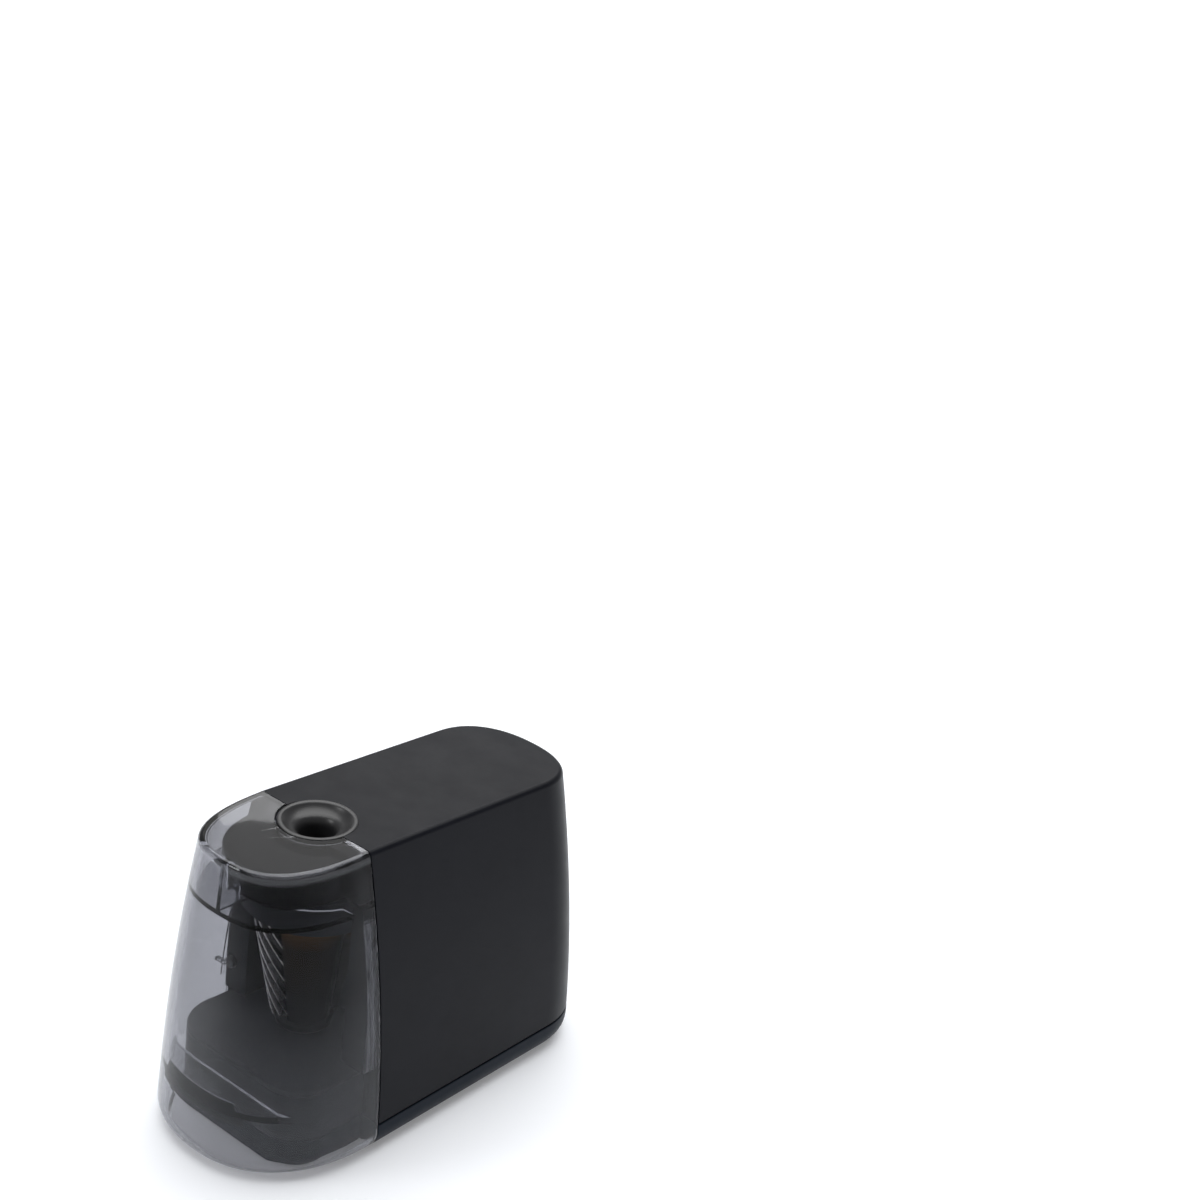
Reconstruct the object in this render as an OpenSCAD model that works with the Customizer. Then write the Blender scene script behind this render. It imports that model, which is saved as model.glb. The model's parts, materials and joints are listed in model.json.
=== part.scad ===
// Battery pencil sharpener with a clear shavings receptacle.
// The frame stands on the table at z = 0, with x across, -y to the front and z up.
// Inside the modules y is counted from the seam plane between the receptacle and the
// case; from_seam() moves each piece into the frame of the whole object.

/* [Case] */
// Height of the case at the seam
case_h = 77.7; // [76:0.1:80]
// Width of the case at the table, before the bottom edge turns in
base_w = 57; // [56:0.5:60]
// Width of the case along its top edge
top_w = 37; // [36.5:0.5:40]
// Outward bow of each side at half height
side_bow = 2.4; // [2:0.1:3]
// Length of the straight sides behind the seam
side_len = 60.5; // [59:0.5:64]
// Depth of the rounded rear at the table
rear_base = 21.5; // [20:0.5:24]
// Depth of the rounded rear at the top
rear_top = 16; // [14:0.5:20]
// Fall of the top surface towards the rear, per millimetre
top_fall = 0.05; // [0:0.01:0.06]
// Wall of the upper case
case_wall = 2; // [1.6:0.1:2]
// Height of the seam between the case and the base plate
seam_z = 8; // [7.5:0.1:8.5]
// Radius of the turned-in bottom edge
edge_r = 6; // [4:0.5:7]

/* [Receptacle] */
// Reach of the receptacle in front of the seam at the table
front_base = 34.2; // [33:0.1:37]
// Reach of the receptacle in front of the seam at the top
front_top = 27.8; // [27:0.1:30]
// Wall of the receptacle
bin_wall = 1.6; // [1.4:0.1:1.8]
// Top of the raised floor
floor_z = 17.4; // [16:0.1:18]
// Top of the inner shelf
shelf_z = 64.8; // [64.5:0.1:65]

/* [Pencil entry] */
// Distance of the pencil axis behind the seam
axis_y = 0.9; // [0.5:0.1:1.2]
// Radius of the straight pencil bore
bore_r = 4.2; // [3.9:0.1:4.3]
// Outer radius of the guide collar
collar_r = 9.4; // [9:0.1:9.6]

/* [Cutter] */
// Outer radius of the helical cutter
cutter_r = 4; // [3.8:0.1:4]
// Tilt of the cutter axis from the pencil axis, in degrees
cutter_tilt = 11.5; // [11:0.1:12]
// Number of cutting edges on the cutter
cutter_edges = 12; // [8:1:16]
// Bearing of the cutter around the pencil axis at rest, in degrees
cutter_bearing = 230; // [0:5:355]

/* [Hidden] */
$fn = 64;

eps = 0.01;
arc_steps = 28;
running_gap = 0.05;
seam_gap = 0.15;
front_n_base = 2.26;
front_n_top = 2.65;
rear_n = 2.3;
top_edge = 1.2;

plate_z = 1;
base_floor = 2.4;
seam_y = (front_reach(edge_r) + seam_gap - side_len - rear_reach(edge_r)) / 2;

// Levels of the gear train and the cutter, counted from the table
deck_z = 22;
frame_z = 64;
frame_t = 1.8;
gear_z = 66.2;
gear_t = 3;
big_gear_z = 69.8;
big_gear_t = 2.2;
tip_z = 26;
ring_mid_z = 59;
ring_t = 3.2;

// Gears: modules in millimetres and tooth counts
slow_mod = 0.6;
fast_mod = 0.5;
carrier_teeth = 40;
idler_small_teeth = 12;
idler_big_teeth = 32;
motor_teeth = 10;
ring_teeth = 44;
cutter_teeth = 8;
mesh_gap = 0.1;
idler_y = axis_y + (carrier_teeth + idler_small_teeth) * slow_mod / 2 + mesh_gap;
motor_y = idler_y + (idler_big_teeth + motor_teeth) * fast_mod / 2 + mesh_gap;

guide_tube_r = 6.2;
pin_r = 1;
plunger_r = 1.4;
carrier_bore_r = 5;
alcove_r = 17.2;
alcove_wall = 1.3;
ring_outer_r = 15.4;
boss_depth = 3;
boss_side = 2;
boss_z = 38;
boss_levels = [deck_z, 32, boss_z, 46, 54, frame_z];
tongue_w = 22;
tongue_y = 21.5;
tongue_corner = 9;
tongue_back_w = 17.4;
tongue_back = 13.2;
tongue_wall = 1.6;
deck_t = 1.5;
bin_bottom = 1.2;
shelf_t = 1.2;
shelf_back = 6.2;
notch_r = 18.1;
part_gap = 0.3;

// Head over the carrier gear: half width and front reach of its two levels
head_low = [14.8, 20.6];
head_lip = [15.4, 21.7];
head_lip_z = 69.9;
head_top_z = 74.4;
head_n = 2.7;
head_wall = 1.4;
flange_top = 75.8;
flange_t = 4;

// Carrier: lowest level, foot of the cone, drive disc and its radius
carrier_low = 23.4;
cone_z = 25.4;
cone_r = [6, 9];
disc_z = [61.4, 63.4];
disc_r = 13.4;

// Motor
can_r = 10;
can_flat = 7.5;
can_wall = 0.6;
can_z = [38.6, 63.9];
can_nose_r = 3;
end_cap_z = 36.4;
terminal_x = 6;
armature_r = 6.6;

// Battery tray and its four cells
cell_r = 7.15;
cell_len = 48.9;
cell_button = 1.4;
cell_x = 7.4;
cell_z = [10.9, 25.6];
tray_y = 13.6;
tray_len = 58.1;
tray_wall = 1.3;
tray_half = 16.2;
tray_top = 34.4;
plate_t = 0.4;
spring_len = 4.2;

// Underside door
door_half = 16.8;
door_tongue = 1;
door_y = 12.2;

// Fasteners, feet, switches and wiring
case_screw_at = [[21, 8], [-21, 8], [21, 52], [-21, 52]];
frame_screw_at = [[15.2, 14.2], [-15.2, 14.2]];
feet_at = [[14, -14], [-14, -14], [21.5, 65], [-21.5, 65]];
interlock_at = [-21.8, 30];
foot_r = 3;
wire_r = 0.6;
wire_route = [[7.2, 27, 35.6], [12, 27, 35.7], [17, 27, 35.4], [19.2, 26, 33], [19.4, 24, 28],
    [19.4, 20, 20], [19.2, 16, 14], [18, 13.2, 10.5], [14, 12.3, 9], [10, 11, 8.6],
    [7.4, 6, 8.6], [7.2, 3, 8.6]];

// ---- outline of the case ----

function sgn_pow(v, n) = sign(v) * pow(abs(v), 2 / n);
function low_inset(z) = z < edge_r ? edge_r - sqrt(edge_r * edge_r - pow(edge_r - z, 2)) : 0;
function top_inset(z) =
    let (h = z - (case_h - top_edge))
    h > 0 ? top_edge - sqrt(max(0, top_edge * top_edge - h * h)) : 0;
function edge_inset(z) = low_inset(z) + 0.7 * top_inset(z);
function half_w(z) =
    let (t = z / case_h)
    base_w / 2 + (top_w - base_w) / 2 * t + 4 * side_bow * t * (1 - t) - edge_inset(z);
function front_reach(z) =
    front_base + (front_top - front_base) * z / case_h - edge_inset(z);
function rear_reach(z) = rear_base + (rear_top - rear_base) * z / case_h - edge_inset(z);
function front_n(z) = front_n_base + (front_n_top - front_n_base) * z / case_h;
function fallen(y, z) =
    z - top_fall * max(0, y) * max(0, z - seam_z) / (case_h - seam_z);

// One level of the receptacle: an arc round the front, closed at y = back
function front_ring(z, inset, back) = concat(
    back > -seam_gap ? [[inset - half_w(z), back, z]] : [],
    [for (i = [arc_steps:-1:0]) let (a = 180 * i / arc_steps)
        [(half_w(z) - inset) * sgn_pow(cos(a), front_n(z)),
         -seam_gap - (front_reach(z) - inset) * sgn_pow(sin(a), front_n(z)), z]],
    back > -seam_gap ? [[half_w(z) - inset, back, z]] : []);

// One level of the case: straight sides and a rounded rear, closed at y = front
function case_ring(z, inset, front) = concat(
    [[half_w(z) - inset, front, fallen(front, z)]],
    [for (i = [0:arc_steps]) let (a = 180 * i / arc_steps,
        y = side_len + (rear_reach(z) - inset) * sgn_pow(sin(a), rear_n))
        [(half_w(z) - inset) * sgn_pow(cos(a), rear_n), y, fallen(y, z)]],
    [[inset - half_w(z), front, fallen(front, z)]]);

// One level of a slab between two y planes whose ends follow the case sides
function slab_ring(z, inset, y0, y1) =
    let (w = half_w(z) - inset)
    [[w, y0, z], [w, y1, z], [-w, y1, z], [-w, y0, z]];

// Skins a stack of equal rings
module loft(rings, flip = false) {
    n = len(rings[0]);
    m = len(rings);
    pts = [for (r = rings) each r];
    sides = [for (j = [0:m - 2], i = [0:n - 1]) let (a = j * n + i, b = j * n + (i + 1) % n)
        each [[a, b, b + n], [a, b + n, a + n]]];
    caps = [[for (i = [n - 1:-1:0]) i], [for (i = [0:n - 1]) (m - 1) * n + i]];
    faces = concat(sides, caps);
    polyhedron(points = pts, faces = flip ? faces : [for (f = faces)
        [for (k = [len(f) - 1:-1:0]) f[k]]]);
}

function levels(z0, z1, n) = [for (i = [0:n]) z0 + (z1 - z0) * i / n];
function edge_levels() = [case_h - top_edge, case_h - top_edge * 0.5,
    case_h - top_edge * 0.15, case_h];

module from_seam() { translate([0, seam_y, 0]) children(); }
module at_axis() { translate([0, axis_y, 0]) children(); }

// ---- shared shapes ----

module disc(r, z0, z1) { translate([0, 0, z0]) cylinder(r = r, h = z1 - z0); }

module box(x0, x1, y0, y1, z0, z1) {
    translate([x0, y0, z0]) cube([x1 - x0, y1 - y0, z1 - z0]);
}

// Outline of a straight-flanked spur gear with a tooth centred on +x
function gear_points(teeth, mod, tip, root, fat) =
    let (r = teeth * mod / 2, p = 360 / teeth)
    [for (i = [0:teeth - 1], k = [0:3])
        let (a = i * p + [-0.30 * fat, -0.13 * fat, 0.13 * fat, 0.30 * fat][k] * p,
             q = (k == 0 || k == 3) ? r + root * mod : r + tip * mod)
        [q * cos(a), q * sin(a)]];

module spur(teeth, mod, z0, t, hole) {
    difference() {
        translate([0, 0, z0]) linear_extrude(t)
            polygon(gear_points(teeth, mod, 0.8, -1.1, 0.9));
        disc(hole, z0 - 1, z0 + t + 1);
    }
}

// Coil spring along +z, a round wire swept round the turns
module coil(r, wire, height, turns) {
    sides = 6;
    per = 14;
    n = turns * per;
    rings = [for (i = [0:n]) let (a = 360 * i / per, z = height * i / n)
        [for (k = [0:sides - 1]) let (b = 360 * k / sides)
            [(r + wire * cos(b)) * cos(a), (r + wire * cos(b)) * sin(a), z + wire * sin(b)]]];
    loft(rings, true);
}

// Round wire along a chain of points, with a ring square to the route at each one
module wire_run(points, r) {
    sides = 8;
    n = len(points) - 1;
    function unit(v) = v / norm(v);
    function dir(i) = unit((i == 0 ? [0, 0, 0] : unit(points[i] - points[i - 1]))
        + (i == n ? [0, 0, 0] : unit(points[i + 1] - points[i])));
    function side(i) = unit(cross(dir(i), [0.31, 0.52, 0.79]));
    rings = [for (i = [0:n]) let (u = side(i), v = cross(dir(i), u))
        [for (k = [0:sides - 1]) let (b = 360 * k / sides)
            points[i] + r * cos(b) * u + r * sin(b) * v]];
    loft(rings);
}

// The tilted cutter axis: children are drawn along +z with z = 0 at the cone tip
module on_cutter_axis() {
    at_axis() rotate([0, 0, cutter_bearing])
        translate([cutter_r / cos(cutter_tilt), 0, tip_z])
        rotate([0, cutter_tilt, 0]) children();
}

// Length along the tilted axis that reaches height z
function along(z) = (z - tip_z) / cos(cutter_tilt);

// Outline of the tongue under the receptacle, narrower where it enters the case
module tongue_outline(inset) {
    w = tongue_w - inset;
    c = tongue_corner - inset;
    translate([-w, tongue_corner - tongue_y])
        square([2 * w, tongue_y - tongue_corner - part_gap - inset]);
    translate([-(tongue_w - tongue_corner), inset - tongue_y])
        square([2 * (tongue_w - tongue_corner), tongue_corner]);
    translate([inset - tongue_back_w, -tongue_corner])
        square([2 * (tongue_back_w - inset), tongue_corner + tongue_back - inset]);
    for (s = [-1, 1])
        translate([s * (tongue_w - tongue_corner), tongue_corner - tongue_y]) circle(r = c);
}

// ---- receptacle ----

module receptacle() {
    color([0.75, 0.78, 0.82, 0.45]) from_seam() {
        outer = concat(levels(bin_bottom, edge_r, 3), levels(12, case_h - 4, 6), edge_levels());
        inner = concat(levels(0.4, edge_r, 3), levels(12, case_h - bin_wall, 6));
        inner_bow = 5;
        difference() {
            loft([for (z = outer) front_ring(z, 0, -seam_gap)]);
            loft([for (z = inner) front_ring(z, bin_wall, inner_bow)]);
            at_axis() disc(collar_r + 0.2, case_h - 3, case_h + 1);
        }
        difference() {
            loft([for (z = [floor_z - bin_wall, floor_z])
                front_ring(z, bin_wall / 2, -seam_gap)]);
            floor_opening();
        }
        difference() {
            loft([for (z = [shelf_z - shelf_t, shelf_z]) front_ring(z, bin_wall / 2, -seam_gap)]);
            at_axis() disc(notch_r, shelf_z - 3, shelf_z + 1);
            box(-40, 40, -shelf_back, 5, shelf_z - 3, shelf_z + 1);
        }
        front_web();
        bin_tab();
    }
}

// Opening behind the raised floor; its front edge bends back beside the tongue
module floor_opening() {
    bend = [[17.7, -22.8], [21.5, -21.4], [24.5, -18.8], [26, -16], [40, -16], [40, 5]];
    linear_extrude(30) polygon(concat(
        [for (q = bend) q], [for (i = [len(bend) - 1:-1:0]) [-bend[i][0], bend[i][1]]]));
}

// Upright web between the shelf, the front wall and the top, stepped round the head
module front_web() {
    web_t = 1.2;
    low = shelf_z - 0.2;
    high = case_h - bin_wall + 0.2;
    translate([-web_t / 2, 0, 0]) rotate([90, 0, 90]) linear_extrude(web_t)
        polygon([[0.8 - front_reach(low), low], [-17.7, low], [-17.7, 65.4], [-21.8, 65.4],
            [-21.8, 69.5], [-25.4, 69.5], [-25.4, high], [0.8 - front_reach(high), high]]);
}

// Inward tab of the far side wall that holds the interlock pressed
module bin_tab() {
    z = interlock_at[1];
    box(bin_wall / 2 - half_w(z), interlock_at[0] + 1.2, -5.8, -4.4, z - 1.5, z + 1.5);
}

// ---- case ----

module upper_case() {
    color([0.2, 0.21, 0.23]) from_seam() {
        zs = concat([seam_z, 14], levels(22, case_h - 4, 6), edge_levels());
        zi = concat([seam_z - 1, 14], levels(22, case_h - case_wall, 6));
        difference() {
            loft([for (z = zs) case_ring(z, 0, 0)]);
            loft([for (z = zi) case_ring(z, case_wall, -2)]);
            at_axis() disc(collar_r + running_gap, case_h - 6, case_h + 2);
        }
        for (p = case_screw_at) case_post(p);
    }
}

// Screw post inside the case, tied to the side wall by a web
module case_post(p) {
    post_top = 23.5;
    side = sign(p[0]);
    difference() {
        union() {
            translate([p[0], p[1], seam_z + 0.2]) cylinder(r = 3, h = post_top - seam_z - 0.2);
            reach = half_w(post_top) - 1 - abs(p[0]);
            translate([side > 0 ? p[0] : p[0] - reach, p[1] - 0.8, seam_z + 0.2])
                cube([reach, 1.6, post_top - seam_z - 0.2]);
        }
        translate([p[0], p[1], 0]) cylinder(r = 1.5, h = post_top - 2.5);
    }
}

module base_plate() {
    color([0.19, 0.2, 0.22]) from_seam() difference() {
        union() {
            difference() {
                loft([for (z = [plate_z, 2, 3.5, edge_r, seam_z - 0.15]) case_ring(z, 0, 0)]);
                translate([0, 0, plate_z + base_floor]) linear_extrude(seam_z)
                    polygon([for (q = case_ring(edge_r, case_wall + 1.4, 11.5)) [q[0], q[1]]]);
            }
            translate([0, 0, plate_z]) linear_extrude(seam_z - plate_z - 0.15)
                tongue_outline(0);
        }
        translate([0, 0, plate_z + base_floor]) linear_extrude(20)
            tongue_outline(tongue_wall);
        box(-door_half - 0.2, door_half + 0.2, door_y - 0.2, 90, 0, plate_z + 0.5);
        box(-door_half - door_tongue - 0.2, door_half + door_tongue + 0.2, door_y - 0.2, 90,
            plate_z + 0.4, plate_z + 1.6);
        box(-tray_half + tray_wall, tray_half - tray_wall, tray_y + tray_wall,
            tray_y + tray_len - tray_wall, 0, 6);
        for (p = case_screw_at) translate([p[0], p[1], 0]) {
            cylinder(r = 1.6, h = 20);
            cylinder(r = 2.9, h = 3.2);
        }
        for (p = feet_at) translate([p[0], p[1], 0]) cylinder(r = foot_r + running_gap, h = 1.6);
    }
}

module battery_door() {
    color([0.18, 0.19, 0.21]) from_seam() difference() {
        intersection() {
            loft([for (z = [plate_z + 0.05, 1.7, plate_z + 1.4]) case_ring(z, 0.1, 0)]);
            union() {
                box(-door_half, door_half, door_y, 90, 0, plate_z + 1.4);
                box(-door_half - door_tongue, door_half + door_tongue, door_y, 90,
                    plate_z + 0.6, plate_z + 1.4);
            }
        }
        for (i = [0:4]) box(-6, 6, 20 + i * 2, 21 + i * 2, 0, plate_z + 0.5);
    }
}

// ---- front of the case ----

// Space round the carrier, with a step in its back that leaves room for the battery tray
module alcove(r, back, step_z, z0, z1) {
    difference() {
        at_axis() disc(r, z0, z1);
        box(-40, 40, back, 40, z0 - 1, step_z);
    }
}

// One level of the boss, whose sides stand upright below boss_z
function boss_ring(z, inset, y0, y1) =
    let (w = min(half_w(z), half_w(boss_z)) - inset)
    [[w, y0, z], [w, y1, z], [-w, y1, z], [-w, y0, z]];

module front_bulkhead() {
    side = boss_side;
    face_t = 1.6;
    back = tray_y - part_gap;
    step_z = tray_top + part_gap;
    color([0.2, 0.21, 0.23]) from_seam() difference() {
        union() {
            difference() {
                union() {
                    loft([for (z = boss_levels) boss_ring(z, side, -boss_depth, 1.8)]);
                    loft([for (z = [seam_z + 0.2, 15, 22, 32, 43, 54, frame_z])
                        slab_ring(z, case_wall + 0.15, 0.2, 1.8)]);
                }
                loft([for (z = [deck_z + face_t, 32, boss_z, 54, frame_z - face_t])
                    boss_ring(z, side + face_t, face_t - boss_depth, 1.9)]);
            }
            intersection() {
                alcove(alcove_r + alcove_wall, back, step_z, deck_z, frame_z);
                loft([for (z = boss_levels) boss_ring(z, side, -boss_depth, 40)]);
            }
            for (p = frame_screw_at) translate([p[0], p[1], frame_z - 14])
                cylinder(r = 2.2, h = 14);
        }
        alcove(alcove_r, back - alcove_wall, step_z + alcove_wall, deck_z - 1, frame_z + 1);
        box(-40, 40, -40, -boss_depth, 0, 80);
        box(-tongue_back_w - 0.2, tongue_back_w + 0.2, 0, 3, 0, deck_z);
        translate([interlock_at[0], -boss_depth - 1, interlock_at[1]]) rotate([-90, 0, 0])
            cylinder(r = 1.5 + running_gap, h = boss_depth + 4);
        for (p = frame_screw_at) translate([p[0], p[1], frame_z - 12])
            cylinder(r = 1.05, h = 20);
    }
}

module switch_housing() {
    color([0.13, 0.13, 0.14]) from_seam() difference() {
        translate([0, 0, seam_z]) linear_extrude(deck_z - deck_t - seam_z) tongue_outline(0);
        translate([0, 0, seam_z - 1]) linear_extrude(30) tongue_outline(tongue_wall);
        box(-30, 30, 9, 20, 0, 30);
    }
}

module front_deck() {
    color([0.15, 0.15, 0.16]) from_seam() difference() {
        translate([0, 0, deck_z - deck_t]) linear_extrude(deck_t) tongue_outline(0);
        at_axis() disc(plunger_r + running_gap, 0, 40);
    }
}

// ---- gearbox ----

// One level of the head: half width and front reach, less an inset, closed at y = back
function head_ring(size, z, inset, back) = concat(
    back > 0 ? [[inset - size[0], back, z]] : [],
    [for (i = [arc_steps:-1:0]) let (a = 180 * i / arc_steps)
        [(size[0] - inset) * sgn_pow(cos(a), head_n),
         -(size[1] - inset) * sgn_pow(sin(a), head_n), z]],
    back > 0 ? [[size[0] - inset, back, z]] : []);

module gear_frame() {
    cheek_x = 10.2;
    color([0.1, 0.1, 0.11]) from_seam() difference() {
        union() {
            at_axis() disc(notch_r - 0.5, frame_z, frame_z + frame_t);
            box(-18.6, 18.6, 0, 41, frame_z, frame_z + frame_t);
            at_axis() disc(ring_outer_r + 1.3, 56.8, frame_z + eps);
            for (s = [-1, 1]) box(s > 0 ? cheek_x : -cheek_x - 1.5,
                s > 0 ? cheek_x + 1.5 : -cheek_x, motor_y - 5, motor_y + 5, 46, frame_z + eps);
        }
        at_axis() disc(10, 50, 80);
        at_axis() disc(ring_outer_r + running_gap, 50, frame_z);
        translate([0, motor_y, 50]) cylinder(r = can_nose_r + running_gap, h = 30);
        translate([0, idler_y, 50]) cylinder(r = pin_r, h = 30);
        for (p = frame_screw_at) translate([p[0], p[1], 50]) cylinder(r = 1.2, h = 30);
    }
}

// Rounded head over the carrier gear, with a flange that fills the back of the receptacle
module head_cover() {
    wall = head_wall;
    low = frame_z + frame_t;
    side = bin_wall + part_gap;
    top = head_top_z;
    color([0.06, 0.06, 0.06]) from_seam() difference() {
        union() {
            loft([for (z = [low, 68, head_lip_z + eps]) head_ring(head_low, z, 0, 0)]);
            loft([for (q = [[head_lip_z, 0.3], [head_lip_z + 0.4, 0], [top - 1, 0],
                [top - 0.3, 0.3], [top, 1]]) head_ring(head_lip, q[0], q[1], 0)]);
            difference() {
                loft([for (z = [low, 70, flange_top]) slab_ring(z, side, -flange_t, 0)]);
                loft([for (z = [low - 1, 70, flange_top - wall])
                    slab_ring(z, side + wall, wall - flange_t, 1)]);
            }
        }
        loft([for (z = [low - 1, 68, head_lip_z]) head_ring(head_low, z, wall, 3)]);
        loft([for (z = [head_lip_z - eps, 72, top - wall]) head_ring(head_lip, z, wall, 3)]);
        at_axis() disc(collar_r + running_gap, 60, 90);
    }
}

module ring_gear() {
    tip = ring_teeth * slow_mod / 2 - 0.35;
    root = ring_teeth * slow_mod / 2 + 0.95;
    pitch = 360 / ring_teeth;
    color([0.85, 0.85, 0.82]) from_seam() at_axis() rotate([0, 0, cutter_bearing])
        difference() {
            disc(ring_outer_r, ring_mid_z - ring_t / 2, ring_mid_z + ring_t / 2);
            translate([0, 0, ring_mid_z - ring_t]) linear_extrude(2 * ring_t)
                polygon([for (i = [0:ring_teeth - 1], k = [0:3])
                    let (a = i * pitch + [-0.36, -0.24, 0.24, 0.36][k] * pitch,
                         q = (k == 0 || k == 3) ? tip : root)
                    [q * cos(a), q * sin(a)]]);
        }
}

module pencil_guide() {
    collar_z = 73.6;
    color([0.12, 0.12, 0.13]) from_seam() at_axis() difference() {
        union() {
            disc(guide_tube_r, 62.3, collar_z + eps);
            disc(collar_r, collar_z, case_h);
        }
        disc(bore_r, 60, 80);
        translate([0, 0, case_h - 4.2]) cylinder(r1 = bore_r, r2 = 5.4, h = 2.2);
        translate([0, 0, case_h - 2.01]) cylinder(r1 = 5.4, r2 = collar_r - 0.9, h = 2.02);
    }
}

// ---- motor ----

module flat_can(r, flat, z0, z1) {
    intersection() {
        translate([0, motor_y, z0]) cylinder(r = r, h = z1 - z0);
        box(-r, r, motor_y - flat, motor_y + flat, z0, z1);
    }
}

module motor_can() {
    color([0.75, 0.76, 0.78]) from_seam() difference() {
        union() {
            flat_can(can_r, can_flat, can_z[0], can_z[1]);
            translate([0, motor_y, can_z[1] - eps]) cylinder(r = can_nose_r, h = 1.3);
        }
        flat_can(can_r - can_wall, can_flat - can_wall, can_z[0] - 1, can_z[1] - 1);
        translate([0, motor_y, 50]) cylinder(r = pin_r + running_gap, h = 30);
    }
}

module motor_end_cap() {
    color([0.92, 0.9, 0.85]) from_seam() difference() {
        flat_can(can_r, can_flat, end_cap_z, can_z[0]);
        translate([0, motor_y, end_cap_z + 0.8]) cylinder(r = pin_r + running_gap, h = 20);
        for (s = [-1, 1]) terminal(s, end_cap_z - 1, can_z[0] + 1);
    }
}

module motor_magnets() {
    color([0.25, 0.25, 0.26]) from_seam() for (s = [-1, 1]) intersection() {
        difference() {
            translate([0, motor_y, 44]) cylinder(r = can_r - can_wall - running_gap, h = 16);
            translate([0, motor_y, 40]) cylinder(r = armature_r + 0.6, h = 30);
        }
        box(s > 0 ? 3.5 : -10, s > 0 ? 10 : -3.5, motor_y - 6.8, motor_y + 6.8, 40, 70);
    }
}

module motor_terminals() {
    color([0.8, 0.65, 0.3]) from_seam() for (s = [-1, 1])
        terminal(s, end_cap_z - 1.5, can_z[0] + 0.6);
}

module terminal(s, z0, z1) {
    box(s * terminal_x - 0.2, s * terminal_x + 0.2, motor_y - 1.2, motor_y + 1.2, z0, z1);
}

module motor_shaft() {
    color([0.8, 0.8, 0.82]) from_seam() translate([0, motor_y, 0])
        disc(pin_r, end_cap_z + 1, 72.4);
}

module armature_core() {
    slot_w = 1.6;
    color([0.45, 0.45, 0.47]) from_seam() translate([0, motor_y, 0]) difference() {
        disc(armature_r, 46, 58);
        disc(pin_r, 40, 60);
        for (a = [0, 120, 240]) rotate([0, 0, a]) {
            box(2.6, 8, -slot_w / 2, slot_w / 2, 40, 60);
            translate([4.1, 0, 40]) cylinder(r = 1.5, h = 20);
        }
    }
}

module armature_windings() {
    color([0.7, 0.35, 0.15]) from_seam() translate([0, motor_y, 0])
        for (z = [[43.9, 45.95], [58.05, 60]]) difference() {
            disc(5.4, z[0], z[1]);
            disc(pin_r + 0.8, 40, 70);
        }
}

module commutator() {
    color([0.75, 0.5, 0.3]) from_seam() translate([0, motor_y, 0]) difference() {
        disc(2.2, 39.8, 43.6);
        disc(pin_r, 30, 50);
    }
}

module motor_pinion() {
    color([0.9, 0.88, 0.8]) from_seam() translate([0, motor_y, 0])
        rotate([0, 0, -90 + 180 / motor_teeth])
        spur(motor_teeth, fast_mod, big_gear_z - 0.2, big_gear_t + 0.4, pin_r);
}

module idler_pin() {
    color([0.8, 0.8, 0.82]) from_seam() translate([0, idler_y, 0])
        disc(pin_r, frame_z, 73);
}

module idler_gear() {
    color([0.9, 0.9, 0.87]) from_seam() translate([0, idler_y, 0]) {
        rotate([0, 0, -90 + 180 / idler_small_teeth])
            spur(idler_small_teeth, slow_mod, frame_z + frame_t + 0.2,
                big_gear_z - frame_z - frame_t - 0.2, pin_r + running_gap);
        rotate([0, 0, 90])
            spur(idler_big_teeth, fast_mod, big_gear_z, big_gear_t, pin_r + running_gap);
    }
}

// ---- carrier and cutter ----

module carrier() {
    color([0.16, 0.12, 0.1]) from_seam() difference() {
        at_axis() {
            disc(disc_r, disc_z[0], disc_z[1]);
            disc(cone_r[1], disc_z[1] - eps, gear_z);
            translate([0, 0, cone_z])
                cylinder(r1 = cone_r[0], r2 = cone_r[1], h = disc_z[0] - cone_z + eps);
            disc(cone_r[0] + 1, carrier_low, cone_z + 0.1);
            rotate([0, 0, cutter_bearing + 180]) counter_rib();
        }
        at_axis() {
            disc(guide_tube_r + running_gap, 61.9, 80);
            disc(carrier_bore_r, 46, 80);
            translate([0, 0, 27.5]) cylinder(r1 = 0.9, r2 = carrier_bore_r, h = 18.6);
            disc(plunger_r + 0.4, 20, 28);
        }
        on_cutter_axis() {
            disc(cutter_r + 0.35, along(25.5), along(56.9));
            disc(3.5, along(56.8), along(61.2));
            disc(pin_r, along(15), along(70));
        }
    }
}

// Balancing rib opposite the cutter
module counter_rib() {
    rotate([90, 0, 0]) translate([0, 0, -1.5]) linear_extrude(3)
        polygon([[5, 27], [7.5, 27], [11.5, 50], [12.4, disc_z[0] + 0.5], [5, disc_z[0] + 0.5]]);
}

module carrier_gear() {
    color([0.9, 0.9, 0.87]) from_seam() at_axis() rotate([0, 0, 90])
        spur(carrier_teeth, slow_mod, gear_z, gear_t, guide_tube_r + running_gap);
}

module cutter_pin() {
    color([0.85, 0.85, 0.87]) from_seam() on_cutter_axis() disc(pin_r, along(23.9), along(62.9));
}

module cutter() {
    low = along(26.7);
    high = along(54.5);
    root_r = cutter_r - 0.7;
    pitch = 360 / cutter_edges;
    color([0.8, 0.81, 0.83]) from_seam() on_cutter_axis() difference() {
        union() {
            translate([0, 0, low]) linear_extrude(high - low, twist = -150, slices = 18)
                polygon([for (i = [0:cutter_edges - 1], k = [0:2])
                    let (a = (i + [0, 0.18, 0.62][k]) * pitch,
                         q = k == 2 ? root_r : cutter_r - 0.02)
                    [q * cos(a), q * sin(a)]]);
            disc(2, high - eps, along(57.5));
        }
        disc(pin_r + running_gap, -5, 60);
    }
}

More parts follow.
